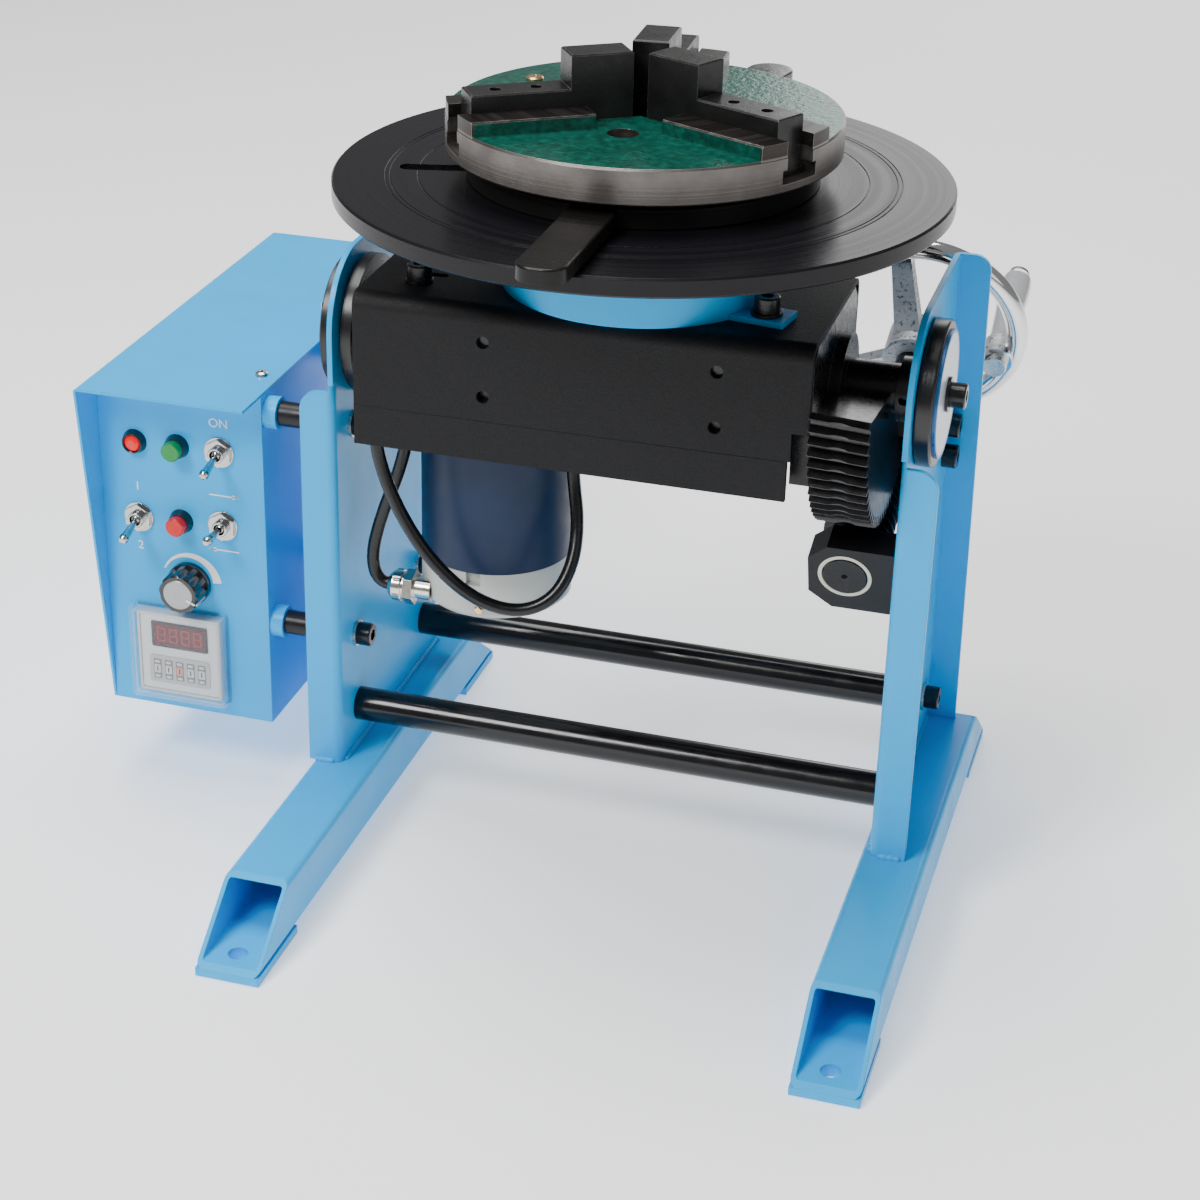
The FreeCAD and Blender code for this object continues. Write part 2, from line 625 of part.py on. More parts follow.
shell = u_sheet(-128.5, 106.9, 266.0, 326.0)
shell = shell.cut(box(98.5, 110, FR - 1, FR + 10, 260, 281))
shell = shell.cut(box(98.5, 110, RR - 10, RR + 1, 260, 281))
for hx_ in (-59.3, 60.0):
    for hz in (308.0, 279.0):
        shell = shell.cut(cyl((hx_, FR - 1, hz), (0, 1, 0), 3.25, 6))
shell = shell.cut(cyl((TABLE_X, TILT_Y, 320), (0, 0, 1), 32.0, 10))
shell = shell.cut(cyl((-102, -21, 320), (0, 0, 1), 4.2, 10))
# adjusting slot beside the bolt
sl = fuse(box(-105, -93, -11.5, -6.5, 320, 330),
          cyl((-105, -9, 320), (0, 0, 1), 2.5, 10),
          cyl((-93, -9, 320), (0, 0, 1), 2.5, 10))
shell = shell.cut(sl)
LUG_R, LUG_T = 81.8, -16.7     # bolt radius, and its angle from the lug's line
LUG = (-8.7, 171.3)            # direction of each lug's line
for a in LUG:
    shell = shell.cut(cyl(polar(LUG_R, a + LUG_T, 320), (0, 0, 1), 4.0, 10))
node("head_shell", shell)

skirt = []
for y0, y1, l0, l1 in ((FR, FR + 3, FR + 3, FR + 4.5),
                       (RR - 3, RR, RR - 4.5, RR - 3)):
    s = box(-128.5, 96.8, y0, y1, 244.5, 265.85)
    s = s.fuse(box(-122.5, 90.0, l0, l1, 244.5, 276.0)).removeSplitter()
    for hx_ in (-59.3, 60.0):
        s = s.cut(cyl((hx_, y0 - 3, 279), (0, 1, 0), 3.25, 12))
    skirt.append(s)
node("head_skirt", *skirt)

# end discs, dial plate
discs = [
    lathe([(4.2, 0), (36.5, 0), (37.3, .8), (37.3, 7.6), (36.3, 8.6),
           (4.2, 8.6)], (152.4, TILT_Y, TILT_Z), (1, 0, 0)),
    lathe([(4.2, 0), (35.2, 0), (36, .8), (36, 5.8), (35.2, 6.6), (4.2, 6.6)],
          (-152.4, TILT_Y, TILT_Z), (-1, 0, 0)),
    ring((-141.0, TILT_Y, TILT_Z), (-1, 0, 0), 37.0, SHAFT_R, 6.0),
    ring((139.6, TILT_Y, TILT_Z), (1, 0, 0), 16.5, SHAFT_R, 8.0).cut(
        cyl((143.6, TILT_Y - 10, TILT_Z), (0, -1, 0), 2.5, 12)),
]
node("trunnion_discs", *discs)
node("dial_plate", lathe([(4.2, 0), (32.3, 0), (32.3, 1.2), (31.7, 1.8),
                          (4.2, 1.8)], (161.0, TILT_Y, TILT_Z), (1, 0, 0)))

hb = [bolt((164.4, TILT_Y, TILT_Z), (-1, 0, 0), 33),
      bolt((-160.6, TILT_Y, TILT_Z), (1, 0, 0), 30),
      bolt((-102, -21, 327.6), (0, 0, -1), 14)]
hw = [ring((162.8, TILT_Y, TILT_Z), (1, 0, 0), 9.0, 4.2, WASH),
      ring((-159.0, TILT_Y, TILT_Z), (-1, 0, 0), 9.0, 4.2, WASH),
      ring((-102, -21, 326), (0, 0, 1), 7.2, 4.2, WASH)]
for a in LUG:
    hb.append(bolt(polar(LUG_R, a + LUG_T, 329 + WASH), (0, 0, -1), 14))
    hw.append(ring(polar(LUG_R, a + LUG_T, 329), (0, 0, 1), 8.0, 4.2, WASH))
for gy, gz in GB:
    hb.append(bolt((101, gy, gz), (1, 0, 0), 22, 6.0, 5.0, 6.0, 5.0))
node("socket_bolts_head", *hb)
node("washers_head", *hw)

# bearing housing with two lugs
bh = lathe([(27.5, 329), (27.5, 342), (25, 342), (25, 353), (27.5, 353),
            (27.5, 366), (48.0, 366), (48.0, 370.8), (69.2, 370.8),
            (70, 370.0), (70, 326), (20, 326), (20, 329)],
           (TABLE_X, TILT_Y, 0), (0, 0, 1))
for a in LUG:
    lug = box(TABLE_X + 50, TABLE_X + 90.3, TILT_Y - 32.7, TILT_Y - 12.5,
              326, 329)
    ed = [e for e in lug.Edges if abs(e.tangentAt(e.FirstParameter).z) > .9
          and abs(e.CenterOfMass.x - TABLE_X - 90.3) < .1]
    lug = lug.makeFillet(0.8, ed)
    lug = lug.cut(cyl((TABLE_X, TILT_Y, 320), (0, 0, 1), 60, 20))
    lug = rot_z(lug, a)
    lug = lug.cut(cyl(polar(LUG_R, a + LUG_T, 320), (0, 0, 1), 4.2, 20))
    bh = bh.fuse(lug)
node("bearing_housing", bh.removeSplitter())


def bearing(z0):
    c = (TABLE_X, TILT_Y, z0)
    outer = ring(c, (0, 0, 1), 27.5, 23.0, 13)
    inner = ring(c, (0, 0, 1), 19.4, 15.05, 13)
    tor_ = Part.makeTorus(21.2, 4.05, V(TABLE_X, TILT_Y, z0 + 6.5), Z)
    balls = [Part.makeSphere(4.05, V(*polar(21.2, 45 * i + 5, z0 + 6.5)))
             for i in range(8)]
    return [outer.cut(tor_), inner.cut(tor_)] + balls


node("spindle_bearings", *(bearing(329) + bearing(353)))

# motor, gearbox, cable gland
MX = -72.5
can = lathe([(0, 167), (40.8, 167), (40.8, 247.5), (39, 250), (0, 250)],
            (MX, TILT_Y, 0), (0, 0, 1))
node("motor_can", can)
cap = lathe([(0, 140), (37.8, 140), (40.8, 143), (40.8, 167), (0, 167)],
            (MX, TILT_Y, 0), (0, 0, 1))
cap = cap.cut(cyl((-100, -10, 147), (-1, 0, 0), 6.0, 14))
cap = cap.cut(box(MX - 4, MX + 4, TILT_Y - 42, TILT_Y - 37.5, 160, 168))
node("motor_end_cap", cap)
gb = box(-104, -34, -22, 58, 250, 300)
ed = [e for e in gb.Edges if abs(e.tangentAt(e.FirstParameter).z) > .9]
gb = gb.makeFillet(8.0, ed)
gb = gb.cut(cyl((TABLE_X - 48, TILT_Y, 285), (0, 0, 1), 5.05, 20))
posts = [cyl((a, b, 300), (0, 0, 1), 5.0, 23)
         for a in (-96, -62) for b in (-14, 36)]
term = box(-34, -20, -6, 10, 262, 276)
node("gearbox", fuse(gb, *posts), term)
gl = lathe([(3.5, 0), (7.6, 0), (7.6, 6.6), (8.3, 6.6), (8.6, 7.2),
            (8.6, 11.6), (6.2, 14.4), (3.5, 14.4)],
           (-109.3, -10, 147), (-1, 0, 0))
for hx0, hr, ht in ((-109.3, 9.8, 5.2), (-116.5, 9.2, 3.6)):
    hx = [V(hx0, -10 + hr * math.cos(math.radians(60 * i + 15)),
            147 + hr * math.sin(math.radians(60 * i + 15))) for i in range(6)]
    hn = Part.Face(Part.makePolygon(hx + [hx[0]])).extrude(V(-ht, 0, 0))
    gl = gl.fuse(hn.cut(cyl((-100, -10, 147), (-1, 0, 0), 3.5, 30)))
gl = gl.fuse(ring((-100, -10, 147), (-1, 0, 0), 6.0, 3.5, 9.4))
node("cable_gland", gl.removeSplitter())

# motor cable: straight runs joined by tangent arcs
ROUTE = [(-101, -10, 147), (-131.0, -10, 147.0), (-135.0, -10, 162.0),
         (-128.5, -10, 188), (-117.5, -10, 216), (-111.5, -10, 243),
         (-111.2, -13, 263), (-114.0, -26, 276), (-119.0, -37.5, 268),
         (-121.3, -38.5, 249), (-117.0, -39, 226), (-104.5, -39.4, 199),
         (-87.0, -39.6, 176), (-66.0, -38, 159.5), (-43.0, -35.5, 154.5),
         (-26.0, -29, 162), (-18.8, -18, 178), (-20.0, -5.5, 197),
         (-25.0, 0.8, 219), (-27.0, 2.0, 242), (-27.0, 2.0, 262)]


def cord(route, r):
    pts = [V(*p) for p in route]
    edges = []
    last = pts[0]
    radii = []
    for i in range(1, len(pts) - 1):
        a = pts[i - 1] - pts[i]
        b = pts[i + 1] - pts[i]
        la, lb = a.Length, b.Length
        a.normalize()
        b.normalize()
        turn = math.pi - a.getAngle(b)
        t = 0.45 * min(la, lb)
        rad = t / math.tan(turn / 2)
        radii.append(round(rad, 1))
        s = pts[i] + a * t
        e = pts[i] + b * t
        bis = a + b
        bis.normalize()
        m = pts[i] + bis * (math.sqrt(rad * rad + t * t) - rad)
        if (s - last).Length > 1e-6:
            edges.append(Part.LineSegment(last, s).toShape())
        edges.append(Part.Arc(s, m, e).toShape())
        last = e
    edges.append(Part.LineSegment(last, pts[-1]).toShape())
    path = Part.Wire(edges)
    d = pts[1] - pts[0]
    prof = Part.Wire([Part.makeCircle(r, pts[0], d)])
    tube = path.makePipeShell([prof], True, True)
    print("cable radii", radii)
    print("cable length", round(path.Length, 1), "volume ratio",
          round(tube.Volume / (math.pi * r * r * path.Length), 4))
    return tube


node("motor_cable", cord(ROUTE, CABLE_R))

# -------------------------------------------------------- spindle and gears
sp = lathe([(0, 298), (14.2, 298), (15, 298.8), (15, 366), (18, 366),
            (18, 366.5), (45, 366.5), (45, TABLE_Z0), (20, TABLE_Z0),
            (20, 378), (0, 378)], (TABLE_X, TILT_Y, 0), (0, 0, 1))
TS = [polar(34, 45 + 90 * i, 0) for i in range(4)]
for p in TS:
    sp = sp.cut(cyl((p[0], p[1], 360), (0, 0, 1), 3.0, 20))
for a in JAW_AZ:
    sp = sp.cut(cyl(polar(14, a, 372.5), (0, 0, 1), 3.0, 10))
node("spindle", sp)


def spur(z, m, thin, r_root, r_tip, mid_deg, c, z0, z1, bore):
    o = gear_outline(z, m, thin, r_root, r_tip, 0, z, mid_deg)
    pts = [V(c[0] + r * math.cos(a), c[1] + r * math.sin(a), z0)
           for a, r in o]
    f = Part.Face(Part.makePolygon(pts + [pts[0]]))
    s = f.extrude(V(0, 0, z1 - z0))
    if bore:
        s = s.cut(cyl((c[0], c[1], z0 - 1), (0, 0, 1), bore, z1 - z0 + 2))
    return s


gc = (TABLE_X, TILT_Y)
dg = spur(36, 2.0, 0.35, 33.4, 38.0, 180 + 5, gc, 302, 312, 15.0)
dg = dg.fuse(ring((TABLE_X, TILT_Y, 312), (0, 0, 1), 22, 15.0, 10))
dg = dg.removeSplitter()
node("driven_gear", dg)
pc = (TABLE_X - 48, TILT_Y)
pin = spur(12, 2.0, 0.35, 9.4, 13.9, 0, pc, 302, 314, 0)
pin = pin.fuse(cyl((pc[0], pc[1], 287), (0, 0, 1), 5.0, 32))
node("pinion", pin.removeSplitter())

# ---------------------------------------------------------------- turntable
tab = lathe([(20.0, TABLE_Z0), (TABLE_R - 1.2, TABLE_Z0),
             (TABLE_R, TABLE_Z0 + 1.2), (TABLE_R, TABLE_Z1 - 1.0),
             (TABLE_R - 1.0, TABLE_Z1), (20.0, TABLE_Z1)],
            (TABLE_X, TILT_Y, 0), (0, 0, 1))
for r in (125.8, 128.2, 112.0):
    tab = tab.cut(ring((TABLE_X, TILT_Y, TABLE_Z1 - .35), (0, 0, 1),
                       r + .3, r - .3, 2))
slot = fuse(box(TABLE_X + 88, TABLE_X + 117, TILT_Y - 5, TILT_Y + 5, 360, 390),
            cyl((TABLE_X + 117, TILT_Y, 360), (0, 0, 1), 5, 30),
            cyl((TABLE_X + 88, TILT_Y, 360), (0, 0, 1), 5, 30))
tab = tab.cut(rot_z(slot, -166.5))
for p in TS:
    tab = tab.cut(cyl((p[0], p[1], 360), (0, 0, 1), 3.2, 40))
    tab = tab.cut(cyl((p[0], p[1], 375.5), (0, 0, 1), 5.2, 10))
CS = [polar(14, a, 0) for a in JAW_AZ]
tscrew = []
for p in TS:
    tscrew.append(bolt((p[0], p[1], 375.5), (0, 0, -1), 9.5, 6.0, 5.0, 5.8,
                       5.0))

# chuck body: hub, floor with T-slots, rails beside each jaw
cb = lathe([(0, 378), (19.9, 378), (19.9, TABLE_Z1), (22, TABLE_Z1),
            (22, CHUCK_RIM0), (CHUCK_R - 1, CHUCK_RIM0),
            (CHUCK_R, CHUCK_RIM0 + 1), (CHUCK_R, CHUCK_RIM1 - 1),
            (CHUCK_R - 1, CHUCK_RIM1), (0, CHUCK_RIM1)],
           (TABLE_X, TILT_Y, 0), (0, 0, 1))
disc = Part.makeCylinder(CHUCK_R - .4, 60, V(TABLE_X, TILT_Y, 380), Z)
for a in JAW_AZ:
    rail = prism([(TABLE_X + 33, TILT_Y - 25, 413), (TABLE_X + 110, TILT_Y - 25, 413),
                  (TABLE_X + 110, TILT_Y + 25, 413), (TABLE_X + 33, TILT_Y + 25, 413)],
                 (0, 0, RAIL_TOP - 413))
    ed = [e for e in rail.Edges if abs(e.tangentAt(e.FirstParameter).x) > .9
          and abs(e.CenterOfMass.z - RAIL_TOP) < .1]
    rail = rail.makeChamfer(.8, ed)
    cb = cb.fuse(rot_z(rail, a).common(disc))
for a in JAW_AZ:
    t1 = box(TABLE_X, TABLE_X + 120, TILT_Y - 9.5, TILT_Y + 9.5, 406, 430)
    t2 = box(TABLE_X, TABLE_X + 120, TILT_Y - 12.25, TILT_Y + 12.25, 400.6,
             407.3)
    t3 = box(TABLE_X + 24, TABLE_X + 88, TILT_Y - 4, TILT_Y + 4, 395, 402)
    cb = cb.cut(rot_z(t1, a)).cut(rot_z(t2, a)).cut(rot_z(t3, a))
for p in CS:
    cb = cb.cut(cyl((p[0], p[1], 370), (0, 0, 1), 3.0, 60))
    cb = cb.cut(cyl((p[0], p[1], 394.4), (0, 0, 1), 5.2, 20))
hp = polar(41.7, -89.2, 0)
cb = cb.cut(cyl((hp[0], hp[1], 402), (0, 0, 1), 7.75, 20))
op = polar(76, 153, 0)
cb = cb.cut(cyl((op[0], op[1], 405), (0, 0, 1), 4.0, 20))
BL_AZ = 79.0
bslot = box(TABLE_X + 89, TABLE_X + 110, TILT_Y - 12.3, TILT_Y + 12.3, 395,
            399)
cb = cb.cut(rot_z(bslot, BL_AZ))
node("chuck_body", cb)
for p in CS:
    tscrew.append(bolt((p[0], p[1], 394.4), (0, 0, -1), 21, 6.0, 5.0, 5.8,
                       5.0))
node("table_screws", *tscrew)
node("oil_plug", lathe([(0, 405), (4.0, 405), (4.0, 414), (4.6, 414),
                        (4.6, 415.2), (3.8, 416.0), (1.6, 416.0),
                        (1.6, 415.2), (0, 415.2)], (op[0], op[1], 0),
                       (0, 0, 1)))
node("table", tab.cut(cyl((TABLE_X, TILT_Y, 360), (0, 0, 1), 20.0, 40)))


def arm(r0, r1, z0, z1, az, w, tip):
    b = box(TABLE_X + r0, TABLE_X + r1 - 6, TILT_Y - w, TILT_Y + w, z0, z1)
    b = b.fuse(box(TABLE_X + r0, TABLE_X + r1, TILT_Y - w, TILT_Y + w, z0, z1))
    b = b.removeSplitter()
    ed = [e for e in b.Edges if abs(e.tangentAt(e.FirstParameter).z) > .9
          and abs(e.CenterOfMass.x - TABLE_X - r1) < .1]
    b = b.makeFillet(tip, ed)
    ed = [e for e in b.Edges if abs(e.CenterOfMass.z - z1) < .05
          and e.CenterOfMass.x > TABLE_X + r0 + 2]
    try:
        c = b.makeFillet(1.2, ed)
        if c.isValid():
            b = c
    except Exception:
        pass
    return rot_z(b, az)


node("body_lever", arm(89.0, 166.0, 391.4, 399.0, BL_AZ, 12.3, 12.0))

# scroll ring: disc, spiral rib, lever
scr = lathe([(22.08, 382), (88, 382), (88, 391.2), (87.2, 392), (22.08, 392)],
            (TABLE_X, TILT_Y, 0), (0, 0, 1))
RIB_A = 28.0


def rib_r(phi):
    return RIB_A - SCROLL_LEAD * phi / 360.0


ph0 = (RIB_A - 85.0) / SCROLL_LEAD * 360.0
ph1 = (RIB_A - 25.0) / SCROLL_LEAD * 360.0
N = 130


def spiral_pts(off):
    out = []
    for i in range(N + 1):
        ph = ph0 + (ph1 - ph0) * i / N
        r = rib_r(ph) + off
        a = math.radians(ph)
        out.append(V(TABLE_X + r * math.cos(a), TILT_Y + r * math.sin(a),
                     391.9))
    return out


pa = spiral_pts(-1.7)
pb = spiral_pts(1.7)
ca = Part.BSplineCurve()
ca.interpolate(pa)
cbv = Part.BSplineCurve()
cbv.interpolate(pb)
rw = Part.Wire([ca.toShape(), Part.makeLine(pa[-1], pb[-1]), cbv.toShape(),
                Part.makeLine(pb[0], pa[0])])
rib = Part.Face(rw).extrude(V(0, 0, 3.8))
scr = scr.fuse(rib).fuse(arm(80.0, 178.0, 383.5, 391.0, -90.0, 12.3, 9.5))
node("scroll_plate", scr)

# jaws with teeth in the scroll
JAWS = []
for i, a in enumerate(JAW_AZ):
    low = box(TABLE_X + 14, TABLE_X + 91, TILT_Y - 12, TILT_Y + 12, 400.9, 407)
    mid_ = box(TABLE_X + 9.5, TABLE_X + 91, TILT_Y - 9.25, TILT_Y + 9.25,
               407 - .5, 429.5)
    tall = box(TABLE_X + 9.5, TABLE_X + 41, TILT_Y - 9.25, TILT_Y + 9.25,
               429, 446)
    j = low.fuse(mid_).fuse(tall).removeSplitter()
    ed = []
    for e in j.Edges:
        c = e.CenterOfMass
        t = e.tangentAt(e.FirstParameter)
        if c.z > 422 and abs(t.z) < .1 and (
                abs(c.z - 446) < .1 or
                (abs(c.z - 429.5) < .1 and c.x > TABLE_X + 42)):
            ed.append(e)
    try:
        k = j.makeChamfer(.7, ed)
        if k.isValid():
            j = k
    except Exception:
        pass
    for r in (56.0, 76.5):
        j = j.cut(cyl((TABLE_X + r, TILT_Y, 412), (0, 0, 1), 3.0, 30))
    base = RIB_A + 4.0 - SCROLL_LEAD * a / 360.0
    while base > 36.0:
        base -= SCROLL_LEAD
    while base < 28.5:
        base += SCROLL_LEAD
    for n in range(4):
        r = base + SCROLL_LEAD * n
        if r > 60.5:
            break
        j = j.fuse(box(TABLE_X + r - 1.6, TABLE_X + r + 1.6, TILT_Y - 3,
                       TILT_Y + 3, 392.5, 401.5))
    print("jaw", i + 1, "teeth from", round(base, 2))
    node("jaw_%d" % (i + 1), rot_z(j.removeSplitter(), a))

# --------------------------------------------------------- worm and handwheel
PITCH = math.pi * GEAR_M


def worm_frame():
    """Placement with +Z along the worm axis and +X along the machine's X."""
    m = FreeCAD.Matrix(1, 0, 0, WORM_X,
                       0, -E2.y, U.y, WF.y,
                       0, -E2.z, U.z, WF.z,
                       0, 0, 0, 1)
    return FreeCAD.Placement(m)


core = lathe([(0, -54.0), (11.2, -54.0), (11.95, -53.3), (11.95, -36.2),
              (13.5, -36.2), (13.5, 36.2), (11.95, 36.2), (11.95, 77.0),
              (8.0, 78.0), (8.0, 146.0), (7.2, 146.8), (0, 146.8)],
             (0, 0, 0), (0, 0, 1))
turns = 8
z_start = -turns * PITCH / 2.0
helix = Part.makeHelix(PITCH, turns * PITCH, 16.0)
helix.translate(V(0, 0, z_start))


def hw_at(r):
    return 1.5708 - 0.10 + (16.0 - r) * math.tan(math.radians(20))


tp = [V(13.1, 0, z_start - hw_at(13.1)), V(18.0, 0, z_start - hw_at(18.0)),
      V(18.0, 0, z_start + hw_at(18.0)), V(13.1, 0, z_start + hw_at(13.1))]
prof = Part.makePolygon(tp + [tp[0]])
thread = Part.Wire(helix).makePipeShell([prof], True, True)
# bring the thread to face the tilt axis at its middle: that side is -Y here
thread.rotate(V(0, 0, 0), Z, -90.0)
worm = core.fuse(thread)
worm = worm.cut(lathe([(0, -55), (1.8, -55), (1.8, -54.01), (0, -52)],
                      (0, 0, 0), (0, 0, 1)))
worm.Placement = worm_frame()
print("worm solids", len(worm.Solids), "valid", worm.isValid(),
      "volume", round(worm.Volume))
node("worm_shaft", worm)

# handwheel, dished, drawn about +Z = worm axis
HW_S = 132.5
RIM_S = 152.5
hub = lathe([(8.0, 119), (15.0, 119), (16.0, 120), (16.0, 143), (14.5, 144.5),
             (8.0, 144.5)], (0, 0, 0), (0, 0, 1))
rim = Part.makeTorus(53.6, 6.0, V(0, 0, RIM_S), Z)
wheel = hub
spk = []
for a in (-17.0, 103.0, 223.0):
    p0 = V(12.0, 0, HW_S - 3)
    p1 = V(52.0, 0, RIM_S - 0.5)
    w0 = Part.makePolygon([p0 + V(0, -7.5, -4.5), p0 + V(0, 7.5, -4.5),
                           p0 + V(0, 7.5, 4.5), p0 + V(0, -7.5, 4.5),
                           p0 + V(0, -7.5, -4.5)])
    w1 = Part.makePolygon([p1 + V(0, -5.5, -3.2), p1 + V(0, 5.5, -3.2),
                           p1 + V(0, 5.5, 3.2), p1 + V(0, -5.5, 3.2),
                           p1 + V(0, -5.5, -3.2)])
    s = Part.makeLoft([w0, w1], True, True)
    s.rotate(V(0, 0, 0), Z, -a)
    spk.append(s)
ha = math.radians(17.0)
HB = (45.5 * math.cos(ha), 45.5 * math.sin(ha))
boss = cyl((HB[0], HB[1], RIM_S - 8), (0, 0, 1), 9.0, 14.2)
for s in spk + [rim, boss]:
    wheel = wheel.fuse(s)
wheel = wheel.cut(cyl((0, 0, 100), (0, 0, 1), 8.0, 60))
wheel = wheel.cut(cyl((HB[0], HB[1], RIM_S - 20), (0, 0, 1), 4.0, 40))
wheel = wheel.cut(cyl((HB[0], HB[1], RIM_S - 20), (0, 0, 1), 7.2, 12.0))
wheel.Placement = worm_frame()
print("handwheel solids", len(wheel.Solids), wheel.isValid())
node("handwheel", wheel.removeSplitter())
hbolt = lathe([(0, RIM_S - 13.5), (6.3, RIM_S - 13.5), (6.8, RIM_S - 13.0),
               (6.8, RIM_S - 8), (4.0, RIM_S - 8), (4.0, RIM_S + 72.0),
               (0, RIM_S + 72.0)], (HB[0], HB[1], 0), (0, 0, 1))
hbolt = hbolt.fuse(cyl((HB[0], HB[1], RIM_S + 69), (0, 0, 1), 6.0, 3))
hbolt.Placement = worm_frame()
node("handle_bolt", hbolt.removeSplitter())
grip = lathe([(4.08, RIM_S + 6.7), (7.0, RIM_S + 6.7), (7.4, RIM_S + 8),
              (7.0, RIM_S + 14), (7.6, RIM_S + 30), (8.6, RIM_S + 48),
              (8.8, RIM_S + 58), (8.2, RIM_S + 65), (7.0, RIM_S + 68.6),
              (4.08, RIM_S + 68.6)], (HB[0], HB[1], 0), (0, 0, 1))
grip.Placement = worm_frame().multiply(grip.Placement)
node("handle_grip", grip)

# ------------------------------------------------------------------- export
for name, shape in parts.items():
    shape.exportStep("parts/%s.step" % name)
total = Part.makeCompound(list(parts.values()))
bb = total.BoundBox
print("nodes", len(parts), "box", [round(v, 2) for v in
      (bb.XMin, bb.XMax, bb.YMin, bb.YMax, bb.ZMin, bb.ZMax)])
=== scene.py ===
import math
import random

import bmesh
import bpy
from mathutils import Matrix, Vector


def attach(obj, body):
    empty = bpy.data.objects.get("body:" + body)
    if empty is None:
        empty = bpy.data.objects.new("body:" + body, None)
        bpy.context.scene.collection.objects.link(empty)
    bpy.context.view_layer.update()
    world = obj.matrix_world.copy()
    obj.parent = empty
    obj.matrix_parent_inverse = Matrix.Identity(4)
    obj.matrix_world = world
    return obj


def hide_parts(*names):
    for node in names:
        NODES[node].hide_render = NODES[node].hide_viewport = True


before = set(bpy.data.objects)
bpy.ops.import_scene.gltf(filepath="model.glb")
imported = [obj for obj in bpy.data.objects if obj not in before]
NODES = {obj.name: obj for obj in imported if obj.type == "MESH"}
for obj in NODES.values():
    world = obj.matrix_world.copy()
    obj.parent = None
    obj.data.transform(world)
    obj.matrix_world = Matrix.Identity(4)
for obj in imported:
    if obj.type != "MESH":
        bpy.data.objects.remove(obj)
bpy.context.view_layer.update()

OX = 6.8


def P(x, y, z):
    return Vector(((x - OX) / 1000, y / 1000, z / 1000))


# ------------------------------------------------------------------ camera
CAM = dict(pos=(322.4, -1193.35, 771.30), yaw=0.311, pitch=-0.471, roll=0.009,
           F=2595.4, px=506.08, py=615.49)


def add_camera():
    y, p, r = CAM["yaw"], CAM["pitch"], CAM["roll"]
    f = Vector((-math.sin(y) * math.cos(p), math.cos(y) * math.cos(p), math.sin(p)))
    rt = f.cross(Vector((0, 0, 1))).normalized()
    up = rt.cross(f).normalized()
    r2 = math.cos(r) * rt + math.sin(r) * up
    u2 = -math.sin(r) * rt + math.cos(r) * up
    cam = bpy.data.cameras.new("camera")
    ob = bpy.data.objects.new("camera", cam)
    bpy.context.scene.collection.objects.link(ob)
    m = Matrix((r2, u2, -f)).transposed().to_4x4()
    m.translation = P(*CAM["pos"])
    ob.matrix_world = m
    cam.sensor_fit = "HORIZONTAL"
    cam.sensor_width = 36.0
    cam.lens = 36.0 * CAM["F"] / 1200.0
    cam.shift_x = (600.0 - CAM["px"]) / 1200.0
    cam.shift_y = (CAM["py"] - 600.0) / 1200.0
    cam.clip_start = 0.05
    cam.clip_end = 80
    bpy.context.scene.camera = ob


add_camera()

# ------------------------------------------------------------------- cable
ROUTE = [(-123.9, -10, 147), (-131.0, -10, 147.0), (-135.0, -10, 162.0),
         (-128.5, -10, 188), (-117.5, -10, 216), (-111.5, -10, 243),
         (-111.2, -13, 263), (-114.0, -26, 276), (-119.0, -37.5, 268),
         (-121.3, -38.5, 249), (-117.0, -39, 226), (-104.5, -39.4, 199),
         (-87.0, -39.6, 176), (-66.0, -38, 159.5), (-43.0, -35.5, 154.5),
         (-26.0, -29, 162), (-18.8, -18, 178), (-20.0, -5.5, 197),
         (-25.0, 0.8, 219), (-27.0, 2.0, 242), (-27.0, 2.0, 262)]


def add_cable():
    cu = bpy.data.curves.new("motor_lead", "CURVE")
    cu.dimensions = "3D"
    sp = cu.splines.new("NURBS")
    sp.points.add(len(ROUTE) - 1)
    for q, p in zip(sp.points, ROUTE):
        q.co = (*P(*p), 1.0)
        q.radius = 0.0035      # the curve's box grows by this, so it is the real radius
    sp.order_u = 3
    sp.use_endpoint_u = True
    sp.resolution_u = 12
    cu.bevel_depth = 1.0       # times each point's radius
    cu.bevel_resolution = 6
    cu.use_fill_caps = True
    ob = bpy.data.objects.new("motor_lead", cu)
    bpy.context.scene.collection.objects.link(ob)
    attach(ob, "tilt_head")
    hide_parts("motor_cable")
    return ob


cable = add_cable()


# --------------------------------------------------------------- materials
def new_mat(name):
    m = bpy.data.materials.new(name)
    m.use_nodes = True
    nt = m.node_tree
    bsdf = nt.nodes["Principled BSDF"]
    return m, nt, bsdf


def N(nt, kind, **kw):
    n = nt.nodes.new(kind)
    for k, v in kw.items():
        if k in n.inputs.keys():
            n.inputs[k].default_value = v
        else:
            setattr(n, k, v)
    return n


def coords(nt):
    t = N(nt, "ShaderNodeTexCoord")
    return t.outputs["Object"]


def noise(nt, vec, scale, detail=3.0, rough=0.55):
    n = N(nt, "ShaderNodeTexNoise")
    n.inputs["Scale"].default_value = scale
    n.inputs["Detail"].default_value = detail
    n.inputs["Roughness"].default_value = rough
    nt.links.new(vec, n.inputs["Vector"])
    return n.outputs["Fac"]


def ramp(nt, fac, stops):
    r = N(nt, "ShaderNodeValToRGB")
    cr = r.color_ramp
    while len(cr.elements) < len(stops):
        cr.elements.new(0.5)
    for e, (pos, col) in zip(cr.elements, stops):
        e.position = pos
        e.color = (*col, 1) if len(col) == 3 else col
    nt.links.new(fac, r.inputs["Fac"])
    return r.outputs["Color"]


